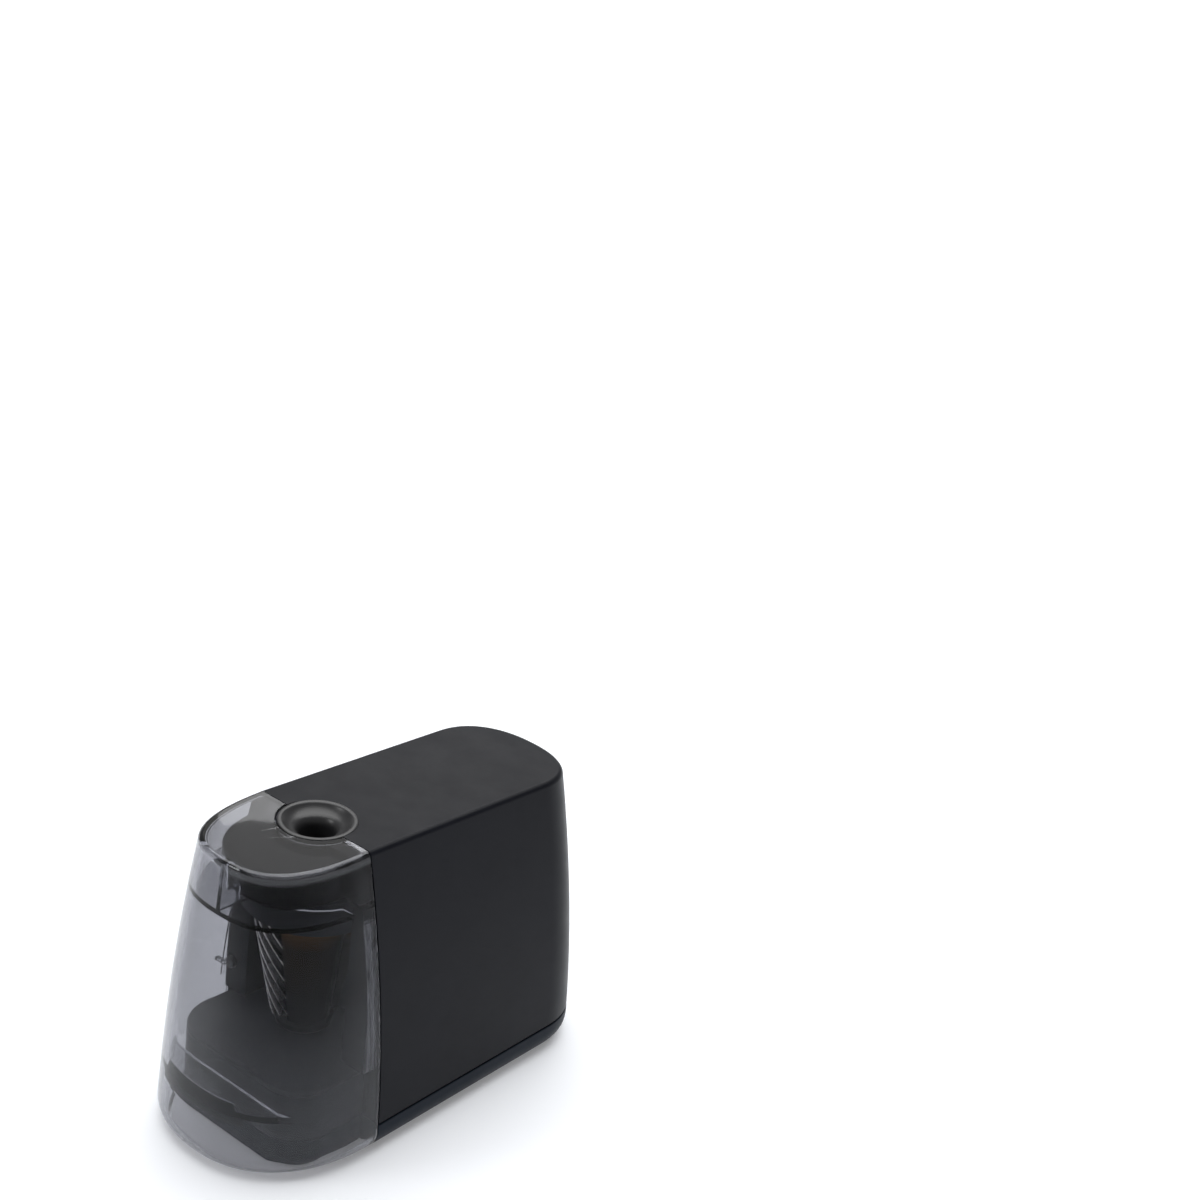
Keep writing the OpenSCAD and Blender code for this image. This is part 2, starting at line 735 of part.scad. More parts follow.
module cutter_pinion() {
    t = 2.6;
    color([0.75, 0.6, 0.3]) from_seam() on_cutter_axis() difference() {
        translate([0, 0, along(ring_mid_z) - t / 2]) linear_extrude(t)
            polygon(gear_points(cutter_teeth, slow_mod, 0.75, -1.15, 0.75));
        disc(pin_r + running_gap, 0, 60);
    }
}

module thrust_washer() {
    color([0.88, 0.88, 0.9]) from_seam() on_cutter_axis() difference() {
        disc(2.4, along(25.75), along(26.5));
        disc(pin_r, -5, 5);
    }
}

// ---- batteries ----

module battery_tray() {
    low = plate_z + base_floor;
    color([0.16, 0.16, 0.17]) from_seam() difference() {
        box(-tray_half, tray_half, tray_y, tray_y + tray_len, low, tray_top);
        box(tray_wall - tray_half, tray_half - tray_wall, tray_y + tray_wall,
            tray_y + tray_len - tray_wall, 0, tray_top - 1.2);
    }
}

// One cell along y; its button faces the rear when rear_button is true
module cell(x, z, rear_button) {
    y0 = tray_y + tray_wall + plate_t + (rear_button ? spring_len : 0) + 0.05;
    half = (cell_len + cell_button) / 2;
    translate([x, y0 + half, z]) rotate([rear_button ? -90 : 90, 0, 0]) {
        disc(cell_r, -half, cell_len - half);
        disc(2.7, cell_len - half - eps, half);
    }
}

module cell_1() { color([0.75, 0.6, 0.2]) from_seam() cell(cell_x, cell_z[0], true); }
module cell_2() { color([0.75, 0.6, 0.2]) from_seam() cell(-cell_x, cell_z[0], false); }
module cell_3() { color([0.75, 0.6, 0.2]) from_seam() cell(cell_x, cell_z[1], false); }
module cell_4() { color([0.75, 0.6, 0.2]) from_seam() cell(-cell_x, cell_z[1], true); }

module contact_plates() {
    far = tray_y + tray_len - tray_wall - plate_t;
    color([0.8, 0.8, 0.78]) from_seam() for (x = [-cell_x, cell_x],
        y = [tray_y + tray_wall, far])
        box(x - 5, x + 5, y, y + plate_t, cell_z[0] - 5, cell_z[1] + 5);
}

module contact_springs() {
    near = tray_y + tray_wall + plate_t + 0.4;
    far = tray_y + tray_len - tray_wall - plate_t - 0.4;
    wire = 0.35;
    color([0.8, 0.8, 0.78]) from_seam() {
        for (p = [[cell_x, cell_z[0]], [-cell_x, cell_z[1]]])
            translate([p[0], near, p[1]]) rotate([-90, 0, 0]) coil(3, wire, spring_len - 0.8, 3);
        for (p = [[-cell_x, cell_z[0]], [cell_x, cell_z[1]]])
            translate([p[0], far, p[1]]) rotate([90, 0, 0]) coil(3, wire, spring_len - 0.8, 3);
    }
}

// ---- switches and wiring ----

module start_switch() {
    color([0.1, 0.1, 0.1]) from_seam() difference() {
        box(-6.4, 6.4, axis_y - 3, axis_y + 3, plate_z + base_floor, 13.2);
        at_axis() disc(plunger_r + 0.2, 10, 20);
    }
}

module start_plunger() {
    color([0.8, 0.8, 0.8]) from_seam() at_axis() {
        disc(plunger_r, 14.4, 26.2);
        disc(3, 18.6, 20.3);
    }
}

module plunger_spring() {
    color([0.8, 0.8, 0.8]) from_seam() at_axis()
        translate([0, 0, 13.6]) coil(2.2, 0.25, 4.7, 5);
}

module interlock_switch() {
    color([0.1, 0.1, 0.1]) from_seam() difference() {
        translate([interlock_at[0], 0, interlock_at[1]])
            translate([-2, 2.6, -6]) cube([3.6, 5.5, 12]);
        translate([interlock_at[0], 2, interlock_at[1]]) rotate([-90, 0, 0])
            cylinder(r = 0.8, h = 3);
    }
}

module interlock_plunger() {
    color([0.75, 0.75, 0.75]) from_seam() translate([interlock_at[0], 0, interlock_at[1]])
        rotate([-90, 0, 0]) {
            translate([0, 0, -4.2]) cylinder(r = 1.5, h = 4.2);
            translate([0, 0, -eps]) cylinder(r = 0.6, h = 3);
        }
}

module wire_red() { color([0.7, 0.1, 0.1]) from_seam() wire_run(wire_route, wire_r); }

module wire_black() {
    color([0.05, 0.05, 0.05]) from_seam() mirror([1, 0, 0]) wire_run(wire_route, wire_r);
}

// ---- fasteners and feet ----

module screw(x, y, z0, head_r, shank_r, head_t, length) {
    translate([x, y, z0]) difference() {
        union() {
            cylinder(r = head_r, h = head_t);
            translate([0, 0, head_t - eps]) cylinder(r = shank_r, h = length);
        }
        for (a = [0, 90]) rotate([0, 0, a])
            translate([-head_r * 0.6, -0.3, -1]) cube([head_r * 1.2, 0.6, 1.8]);
    }
}

module case_screws() {
    color([0.6, 0.6, 0.62]) from_seam() for (p = case_screw_at)
        screw(p[0], p[1], 1.7, 2.6, 1.45, 1.5, 16.8);
}

module frame_screws() {
    color([0.6, 0.6, 0.62]) from_seam() for (p = frame_screw_at)
        translate([0, 0, frame_z + frame_t + 1.4]) mirror([0, 0, 1])
            screw(p[0], p[1], 0, 2, 1, 1.4, 9);
}

module rubber_feet() {
    color([0.08, 0.08, 0.08]) from_seam() for (p = feet_at)
        translate([p[0], p[1], 0]) cylinder(r = foot_r, h = 1.6);
}

receptacle();
upper_case();
base_plate();
battery_door();
front_bulkhead();
switch_housing();
front_deck();
gear_frame();
head_cover();
ring_gear();
pencil_guide();
motor_can();
motor_end_cap();
motor_magnets();
motor_terminals();
motor_shaft();
armature_core();
armature_windings();
commutator();
motor_pinion();
idler_pin();
idler_gear();
carrier();
carrier_gear();
cutter_pin();
cutter();
cutter_pinion();
thrust_washer();
battery_tray();
cell_1();
cell_2();
cell_3();
cell_4();
contact_plates();
contact_springs();
start_switch();
start_plunger();
plunger_spring();
interlock_switch();
interlock_plunger();
wire_red();
wire_black();
case_screws();
frame_screws();
rubber_feet();
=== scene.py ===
import json
import math

import bmesh
import bpy
from mathutils import Matrix, Vector


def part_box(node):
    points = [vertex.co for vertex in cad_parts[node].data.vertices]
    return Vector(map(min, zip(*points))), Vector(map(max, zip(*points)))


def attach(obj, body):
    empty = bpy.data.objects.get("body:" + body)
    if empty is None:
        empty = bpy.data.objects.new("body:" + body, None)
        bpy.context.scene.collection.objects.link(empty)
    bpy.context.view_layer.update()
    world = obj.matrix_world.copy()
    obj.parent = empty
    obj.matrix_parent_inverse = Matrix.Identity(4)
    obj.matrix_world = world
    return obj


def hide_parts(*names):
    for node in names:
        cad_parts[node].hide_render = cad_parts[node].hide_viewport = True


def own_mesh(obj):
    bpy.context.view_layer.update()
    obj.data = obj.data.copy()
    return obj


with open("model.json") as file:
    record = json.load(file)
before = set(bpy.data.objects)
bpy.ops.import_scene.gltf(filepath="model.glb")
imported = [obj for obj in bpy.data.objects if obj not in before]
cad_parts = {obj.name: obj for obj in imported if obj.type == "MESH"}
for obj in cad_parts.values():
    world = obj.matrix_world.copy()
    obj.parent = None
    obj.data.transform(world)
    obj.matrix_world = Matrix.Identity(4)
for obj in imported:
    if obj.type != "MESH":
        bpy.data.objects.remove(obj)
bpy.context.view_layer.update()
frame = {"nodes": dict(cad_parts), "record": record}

MM = 0.001
NODES = frame["nodes"]
SLOTS = {part["node"]: part["material_slot"] for part in frame["record"]["subparts"]}
BODIES = {node: body for body, nodes in frame["record"]["behaviour"]["bodies"].items()
          for node in nodes}
SEAM_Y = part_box("upper_case")[0].y / MM


# ---------------------------------------------------------------- driving sizes
# Everything below is in millimetres, with y counted from the seam plane between the
# receptacle and the case. new_object() turns it into metres in the shared frame.

def span(node):
    """Lowest and highest corner of a CAD node."""
    shift = Vector((0, SEAM_Y, 0))
    low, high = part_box(node)
    return low / MM - shift, high / MM - shift


CASE_LOW = span("upper_case")[0]
BASE_LOW, BASE_HIGH = span("base_plate")
BIN_LOW, BIN_HIGH = span("receptacle")
GUIDE_LOW, GUIDE_HIGH = span("pencil_guide")
HEAD_LOW, HEAD_HIGH = span("head_cover")
WALL_HIGH = span("front_bulkhead")[1]
DECK_LOW, DECK_HIGH = span("front_deck")
TRAY_LOW, TRAY_HIGH = span("battery_tray")
DOOR_LOW, DOOR_HIGH = span("battery_door")
CARRIER_LOW = span("carrier")[0]

# Outline of the case and the receptacle
HEIGHT = BIN_HIGH.z
SEAM_Z = CASE_LOW.z        # where the upper case stands on the base plate
BASE_W = 57                # full width at the table, before its rounding
TOP_W = 37
SIDE_BOW = 2.4             # how far each side bulges half way up
SIDE_LEN = 60.5            # straight part of the sides, counted from the seam
REAR_BASE = 21.5           # how far the rounded rear reaches beyond them at the table
REAR_TOP = 16
REAR_N = 2.3               # power of the rear's superellipse
FRONT_BASE = 34.2          # how far the rounded front reaches at the table
FRONT_TOP = 27.8
FRONT_N = (2.26, 2.65)     # power of the front's superellipse at the table and the top
TOP_FALL = 0.05            # slope of the top towards the rear
EDGE_R = 6                 # rounding at the table
TOP_EDGE = 1.1             # rounding at the top
WALL = 2
SEAM_GAP = 0.15

# Receptacle
BIN_WALL = 1.6
BIN_EDGE = 0.4             # rounding of its bottom edge
BIN_RIM = 0.3              # rounding of its open edge at the seam
BIN_INNER_EDGE = 0.9
FLOOR_Z = 17.4
SHELF_Z = 64.8
SHELF_T = 1.2
SHELF_BACK = 6.2
NOTCH_R = 18.1
WEB_T = 1.2
RIB_LOW = 24.2
RIB_HIGH = 62
RIB_ROWS = (-2.9, -1.9, -0.9)

# Bulkhead, which stands out into the receptacle as a boss
BOSS_DEPTH = 3
BOSS_SIDE = 2
BOSS_Z = 38                # the boss's sides are upright below this
INTERLOCK = (-21.8, 30)
ALCOVE_R = 17.2
ALCOVE_WALL = 1.3
PART_GAP = 0.3

# Pencil guide, which marks the pencil's axis
AXIS = (0, (GUIDE_LOW.y + GUIDE_HIGH.y) / 2)
COLLAR_R = (GUIDE_HIGH.x - GUIDE_LOW.x) / 2
COLLAR_Z = 73.6            # underside of its collar
BORE_R = 4.2
TUBE_R = 6.2

# Head cover: half widths and reaches of its body and of the lip round its top
HEAD_SIZE = (14.8, 20.6)
LIP_SIZE = (15.4, 21.7)
LIP_Z = 69.9
LIP_TOP = 74.4
LIP_EDGE = 1.2
HEAD_N = 2.7
HEAD_WALL = 1.4
FLANGE_T = 4

# Tongue of the base under the receptacle, and the housing and the deck on it
TONGUE_W = 22
TONGUE_Y = 21.5
TONGUE_CORNER = 9
TONGUE_BACK_W = 17.4
TONGUE_BACK = 13.2
TONGUE_WALL = 1.6

# Base plate and battery door
BASE_FLOOR = 3.4
DOOR_W = 16.8              # half widths of the door and of the tongues that hold it
DOOR_GRIP = 17.8
DOOR_FRONT = 12
POST_TOP = 23.5
POST_R = 3
CASE_SCREWS = [(21, 8), (-21, 8), (21, 52), (-21, 52)]
FEET = [(14, -14), (-14, -14), (21.5, 65), (-21.5, 65)]
FRAME_SCREWS = [(15.2, 14.2), (-15.2, 14.2)]

# Cutter, which leans over the pencil's cone from the tip's height
CUTTER_R = 4
CUTTER_TILT = math.radians(11.5)
CUTTER_BEARING = math.radians(230)
CUTTER_EDGES = 12
CUTTER_TWIST = math.radians(150)
CUTTER_LOW = 26.7
CUTTER_HIGH = 54.5
CUTTER_ROOT_R = 3.2
TIP_Z = 26
CUTTER_MATRIX = (Matrix.Translation((AXIS[0], AXIS[1], 0))
                 @ Matrix.Rotation(CUTTER_BEARING, 4, "Z")
                 @ Matrix.Translation((CUTTER_R / math.cos(CUTTER_TILT), 0, TIP_Z))
                 @ Matrix.Rotation(CUTTER_TILT, 4, "Y"))


# ---------------------------------------------------------------- outline of the case

def power(value, n):
    """Power that bends a circle into a superellipse, with value's own sign."""
    return math.copysign(abs(value) ** (2 / n), value)


def low_inset(z):
    """How far the rounding at the table draws the outline in."""
    return EDGE_R - math.sqrt(EDGE_R ** 2 - (EDGE_R - z) ** 2) if z < EDGE_R else 0.0


def half_w(z):
    """Half width of the case and the receptacle at height z."""
    t = z / HEIGHT
    return BASE_W / 2 + (TOP_W - BASE_W) / 2 * t + 4 * SIDE_BOW * t * (1 - t) - low_inset(z)


def front_reach(z):
    return FRONT_BASE + (FRONT_TOP - FRONT_BASE) * z / HEIGHT - low_inset(z)


def rear_reach(z):
    return REAR_BASE + (REAR_TOP - REAR_BASE) * z / HEIGHT - low_inset(z)


def fallen(y, z):
    """Height z at distance y behind the seam, on the top's slope."""
    return z - TOP_FALL * max(0.0, y) * max(0.0, z - SEAM_Z) / (HEIGHT - SEAM_Z)


def front_ring(z, inset, back, steps=80):
    """One level of the receptacle, closed at y = back."""
    n = FRONT_N[0] + (FRONT_N[1] - FRONT_N[0]) * z / HEIGHT
    w, f = half_w(z) - inset, front_reach(z) - inset
    arc = [(w * power(math.cos(a), n), -SEAM_GAP - f * power(math.sin(a), n))
           for a in (math.pi * (1 - i / steps) for i in range(steps + 1))]
    if back > -SEAM_GAP:
        outline = [(-w, back)] + arc + [(w, back)]
    else:
        near = 0.3 * BIN_RIM
        rim = [(w, -SEAM_GAP - BIN_RIM), (w - near, -SEAM_GAP - near), (w - BIN_RIM, -SEAM_GAP)]
        outline = [(-x, y) for x, y in reversed(rim)] + arc[1:-1] + rim
    return [(x, y, z) for x, y in outline]


def case_ring(z, inset, front, steps=72, straight=12):
    """One level of the case, its sides straight and its rear rounded."""
    w, r = half_w(z) - inset, rear_reach(z) - inset
    side = [front + (SIDE_LEN - front) * i / straight for i in range(straight)]
    arc = [(w * power(math.cos(a), REAR_N), SIDE_LEN + r * power(math.sin(a), REAR_N))
           for a in (math.pi * i / steps for i in range(steps + 1))]
    outline = [(w, y) for y in side] + arc + [(-w, y) for y in reversed(side)]
    return [(x, y, fallen(y, z)) for x, y in outline]


def slab_ring(z, inset, y0, y1):
    """One level of a slab between two y planes whose ends follow the case sides."""
    w = half_w(z) - inset
    return [(w, y0, z), (w, y1, z), (-w, y1, z), (-w, y0, z)]


def head_ring(size, z, inset, back, steps=48):
    """One level of the head cover, closed at y = back."""
    w, f = size[0] - inset, size[1] - inset
    arc = [(w * power(math.cos(a), HEAD_N), -f * power(math.sin(a), HEAD_N))
           for a in (math.pi * (1 - i / steps) for i in range(steps + 1))]
    outline = [(-w, back)] + arc + [(w, back)] if back > 0 else arc
    return [(x, y, z) for x, y in outline]


def tongue_outline(inset, steps=16):
    """Plan of the tongue under the receptacle, narrower where it enters the case."""
    w, c, back = TONGUE_W - inset, TONGUE_CORNER - inset, TONGUE_BACK - inset
    cx, cy = TONGUE_W - TONGUE_CORNER, TONGUE_CORNER - TONGUE_Y
    right = [(TONGUE_BACK_W - inset, back), (TONGUE_BACK_W - inset, -PART_GAP - inset),
             (w, -PART_GAP - inset)]
    corner = [(cx + c * math.cos(a), cy + c * math.sin(a))
              for a in (-math.pi / 2 * i / steps for i in range(steps + 1))]
    half = right + corner
    return half + [(-x, y) for x, y in reversed(half)]


def smooth_corner(points, rounds=2):
    """Cuts the inner corners of an open outline, keeping its ends."""
    for _ in range(rounds):
        cut_points = [points[0]]
        for (ax, ay), (bx, by) in zip(points, points[1:]):
            cut_points += [(ax * 0.75 + bx * 0.25, ay * 0.75 + by * 0.25),
                           (ax * 0.25 + bx * 0.75, ay * 0.25 + by * 0.75)]
        points = cut_points + [points[-1]]
    return points


def levels(low, high, count):
    """Even steps from low to high, both included."""
    return [low + (high - low) * i / count for i in range(count + 1)]


def rounded_top(high, radius, steps=6):
    """Levels and insets that round the edge between a side and a top at height high."""
    angles = (math.pi / 2 * i / steps for i in range(1, steps + 1))
    return [(high - radius + radius * math.sin(a), radius * (1 - math.cos(a)))
            for a in angles]


def rounded_low(low, radius, steps=4):
    """The same for the edge of a bottom, from the bottom upwards."""
    return [(2 * low - z, inset) for z, inset in reversed(rounded_top(low, radius, steps))]


# ---------------------------------------------------------------- mesh tools

def shown(name, data):
    """New object in the scene."""
    obj = bpy.data.objects.new(name, data)
    bpy.context.scene.collection.objects.link(obj)
    return obj


def new_object(name, bm):
    """Turns a mesh in millimetres from the seam into an object in the shared frame."""
    for v in bm.verts:
        v.co = Vector((v.co.x, v.co.y + SEAM_Y, v.co.z)) * MM
    bmesh.ops.recalc_face_normals(bm, faces=bm.faces)
    mesh = bpy.data.meshes.new(name)
    bm.to_mesh(mesh)
    bm.free()
    return shown(name, mesh)


def loft(name, rings, matrix=None):
    """Closed skin over a stack of rings with equal counts."""
    bm = bmesh.new()
    rows = [[bm.verts.new(p) for p in ring] for ring in rings]
    count = len(rows[0])
    for low, high in zip(rows, rows[1:]):
        for i in range(count):
            j = (i + 1) % count
            bm.faces.new((low[i], low[j], high[j], high[i]))
    bm.faces.new(tuple(reversed(rows[0])))
    bm.faces.new(rows[-1])
    if matrix:
        bm.transform(matrix)
    return new_object(name, bm)


def prism(name, outline, z0, z1):
    return loft(name, [[(x, y, z) for x, y in outline] for z in (z0, z1)])


def circle(r, z, centre, steps):
    return [(centre[0] + r * math.cos(a), centre[1] + r * math.sin(a), z)
            for a in (2 * math.pi * k / steps for k in range(steps))]


def turned(name, profile, centre=(0, 0), steps=96, matrix=None):
    """Solid of revolution from (radius, z) points, bottom to top, capped at both ends."""
    return loft(name, [circle(r, z, centre, steps) for r, z in profile], matrix)


def drum(name, r, z0, z1, centre=AXIS, steps=128):
    return turned(name, [(r, z0), (r, z1)], centre, steps)


def ring_solid(name, profile, centre, steps):
    """Turned ring whose closed (radius, z) profile never meets the axis."""
    bm = bmesh.new()
    rows = [[bm.verts.new((centre[0] + r * math.cos(a), centre[1] + r * math.sin(a), z))
             for r, z in profile] for a in (2 * math.pi * k / steps for k in range(steps))]
    n = len(profile)
    for k in range(steps):
        this, after = rows[k], rows[(k + 1) % steps]
        for i in range(n):
            j = (i + 1) % n
            bm.faces.new((this[i], after[i], after[j], this[j]))
    return new_object(name, bm)


def block(name, x0, x1, y0, y1, z0, z1):
    return prism(name, [(x0, y0), (x1, y0), (x1, y1), (x0, y1)], z0, z1)


def apply_modifiers(obj):
    """Puts what obj's modifiers make in place of its mesh."""
    dg = bpy.context.evaluated_depsgraph_get()
    mesh = bpy.data.meshes.new_from_object(obj.evaluated_get(dg), depsgraph=dg)
    old = obj.data
    obj.modifiers.clear()
    obj.data = mesh
    bpy.data.meshes.remove(old)


def combine(obj, tool, operation):
    """Boolean of obj with tool, applied; the tool is removed."""
    m = obj.modifiers.new("combine", "BOOLEAN")
    m.operation = operation
    m.solver = "EXACT"
    m.object = tool
    apply_modifiers(obj)
    bpy.data.meshes.remove(tool.data)
    return obj


def cut(obj, *tools):
    for tool in tools:
        combine(obj, tool, "DIFFERENCE")
    return obj


def join(obj, *tools):
    for tool in tools:
        combine(obj, tool, "UNION")
    return obj


def clean(obj, flat=0.2):
    """Welds and removes the leftover slices of flat faces."""
    bm = bmesh.new()
    bm.from_mesh(obj.data)
    bmesh.ops.remove_doubles(bm, verts=bm.verts, dist=2e-6)
    bmesh.ops.dissolve_degenerate(bm, edges=bm.edges, dist=1e-6)
    if flat:
        bmesh.ops.dissolve_limit(bm, angle_limit=math.radians(flat), verts=bm.verts,
                                 edges=bm.edges, delimit={"NORMAL"})
    bm.to_mesh(obj.data)
    bm.free()
    return obj


def soften(obj, width, segments=2, angle=32):
    """Rounds the sharp edges by width, unless it is 0, and shades the faces smooth."""
    if width:
        m = obj.modifiers.new("edges", "BEVEL")
        m.width = width * MM
        m.segments = segments
        m.limit_method = "ANGLE"
        m.angle_limit = math.radians(angle)
        m.use_clamp_overlap = True
        m.miter_outer = "MITER_ARC"
        apply_modifiers(obj)
    mesh = obj.data
    for p in mesh.polygons:
        p.use_smooth = True
    mesh.set_sharp_from_angle(angle=math.radians(angle + 8))
    m = obj.modifiers.new("normals", "WEIGHTED_NORMAL")
    m.keep_sharp = True
    m.weight = 60
    apply_modifiers(obj)
    return obj


def place(obj, *nodes):
    """Hands a finished piece to its body, in place of its CAD nodes."""
    slot = SLOTS[nodes[0]]
    obj.data.materials.clear()
    obj.data.materials.append(MATERIALS[slot])
    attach(obj, BODIES[nodes[0]])
    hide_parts(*nodes)
    return obj


def paint(obj, name, chosen):
    """Gives the faces that chosen() picks a material of their own."""
    obj.data.materials.append(MATERIALS[name])
    for p in obj.data.polygons:
        if chosen(p):
            p.material_index = len(obj.data.materials) - 1


def refined(node, width, angle=32):
    """The CAD node's own form with its edges rounded."""
    obj = shown(node + "_fine", NODES[node].data.copy())
    clean(obj)
    soften(obj, width, 2, angle)
    return place(obj, node)


# ---------------------------------------------------------------- materials

def set_stops(node, stops):
    """Fills a colour ramp from (position, colour) pairs."""
    elements = node.color_ramp.elements
    for i, (at, colour) in enumerate(stops):
        e = elements[i] if i < 2 else elements.new(at)
        e.position = at
        e.color = (*colour, 1)


class Nodes:
    """Short-hand for building one material's node tree."""

    def __init__(self, name):
        self.material = bpy.data.materials.new(name)
        self.material.use_nodes = True
        self.tree = self.material.node_tree
        self.shader = self.tree.nodes["Principled BSDF"]
        self.out = self.tree.nodes["Material Output"]
        self.coords = self.add("ShaderNodeTexCoord").outputs["Object"]

    def add(self, kind, **values):
        node = self.tree.nodes.new(kind)
        for key, value in values.items():
            setattr(node, key, value)
        return node

    def link(self, start, end):
        self.tree.links.new(start, end)

    def noise(self, scale, detail=3.0, rough=0.5, stretch=None):
        """Noise in object space; scale is the number of features along one metre."""
        coords = self.coords
        if stretch:
            mapping = self.add("ShaderNodeMapping")
            mapping.inputs["Scale"].default_value = stretch
            self.link(coords, mapping.inputs["Vector"])
            coords = mapping.outputs["Vector"]
        node = self.add("ShaderNodeTexNoise")
        node.inputs["Scale"].default_value = scale
        node.inputs["Detail"].default_value = detail
        node.inputs["Roughness"].default_value = rough
        self.link(coords, node.inputs["Vector"])
        return node.outputs["Fac"]

    def height(self):
        """0 at the table and 1 at the object's top."""
        split = self.add("ShaderNodeSeparateXYZ")
        self.link(self.coords, split.inputs[0])
        level = self.add("ShaderNodeMapRange")
        level.inputs["From Max"].default_value = HEIGHT * MM
        self.link(split.outputs["Z"], level.inputs["Value"])
        return level.outputs["Result"]

    def ramp(self, value, stops):
        node = self.add("ShaderNodeValToRGB")
        set_stops(node, stops)
        self.link(value, node.inputs["Fac"])
        return node.outputs["Color"]

    def spread(self, value, low, high):
        """Maps the middle of a noise to the range from low to high."""
        node = self.add("ShaderNodeMapRange")
        node.inputs["From Min"].default_value = 0.3
        node.inputs["From Max"].default_value = 0.7
        node.inputs["To Min"].default_value = low
        node.inputs["To Max"].default_value = high
        self.link(value, node.inputs["Value"])
        return node.outputs["Result"]

    def bump(self, height, distance, strength=1.0):
        node = self.add("ShaderNodeBump")
        node.inputs["Distance"].default_value = distance
        node.inputs["Strength"].default_value = strength
        self.link(height, node.inputs["Height"])
        self.link(node.outputs["Normal"], self.shader.inputs["Normal"])

    def set(self, **values):
        """Constants on the shader's own sockets, with _ for a space in a socket's name."""
        for key, value in values.items():
            self.shader.inputs[key.replace("_", " ")].default_value = value


def moulded(name, colour, rough, grain, depth, vary=0.12, rough_vary=0.05, specular=0.5,
            patch=35, stretch=None):
    """Moulded or machined surface: fine grain, faint colour patches and uneven gloss."""
    m = Nodes(name)
    dark = tuple(c * (1 - vary) for c in colour)
    light = tuple(c * (1 + vary) for c in colour)
    m.link(m.ramp(m.noise(patch, 4, 0.5, stretch), [(0.3, dark), (0.7, light)]),
           m.shader.inputs["Base Color"])
    m.link(m.spread(m.noise(patch * 3, 5, 0.6), rough - rough_vary, rough + rough_vary),
           m.shader.inputs["Roughness"])
    m.bump(m.noise(grain, 2, 0.5, stretch), depth * MM)
    m.set(Specular_IOR_Level=specular)
    return m


def metal(name, colour, rough, grain, depth, stretch=None):
    m = moulded(name, colour, rough, grain, depth, vary=0.1, rough_vary=0.06, patch=60,
                stretch=stretch)
    m.set(Metallic=1.0)
    return m


def ground_steel(name):
    """Cutter steel: bright ground lands on the outside, dull dark gullets between them."""
    m = metal(name, (0.5, 0.5, 0.5), 0.28, 1500, 0.004)
    start = CUTTER_MATRIX @ Vector((0, 0, 0))
    axis = (CUTTER_MATRIX.to_3x3() @ Vector((0, 0, 1))).normalized()
    away = m.add("ShaderNodeVectorMath", operation="SUBTRACT")
    away.inputs[1].default_value = Vector((start.x, start.y + SEAM_Y, start.z)) * MM
    m.link(m.coords, away.inputs[0])
    across = m.add("ShaderNodeVectorMath", operation="CROSS_PRODUCT")
    across.inputs[1].default_value = axis
    m.link(away.outputs["Vector"], across.inputs[0])
    radius = m.add("ShaderNodeVectorMath", operation="LENGTH")
    m.link(across.outputs["Vector"], radius.inputs[0])
    dull_r, bright_r = 3.55, 3.95
    band = m.add("ShaderNodeMapRange")
    band.inputs["From Min"].default_value = dull_r * MM
    band.inputs["From Max"].default_value = bright_r * MM
    m.link(radius.outputs["Value"], band.inputs["Value"])
    gullet, face, land = (0.055, 0.052, 0.05), (0.16, 0.155, 0.15), (0.85, 0.84, 0.82)
    stops = [(0.0, gullet), (0.7, face), (1.0, land)]
    m.link(m.ramp(band.outputs["Result"], stops), m.shader.inputs["Base Color"])
    return m


def dusty(name):
    """Dark deck with a scatter of fine graphite and wood dust."""
    m = moulded(name, (0.03, 0.031, 0.036), 0.5, 1800, 0.0012, specular=0.25)
    dark, plain, speck = (0.026, 0.027, 0.032), (0.032, 0.033, 0.038), (0.13, 0.125, 0.12)
    stops = [(0.0, dark), (0.6, plain), (0.68, speck)]
    m.link(m.ramp(m.noise(1900, 2, 0.6), stops), m.shader.inputs["Base Color"])
    return m


def carrier_nylon(name):
    """Brown nylon that turns black towards the bottom, near the pencil's tip."""
    m = moulded(name, (0.02, 0.012, 0.008), 0.55, 1500, 0.003, specular=0.12)
    black, umber, brown = (0.004, 0.004, 0.004), (0.02, 0.0105, 0.005), (0.15, 0.07, 0.024)
    stops = [(0.4, black), (0.6, umber), (0.7, brown)]
    m.link(m.ramp(m.height(), stops), m.shader.inputs["Base Color"])
    return m


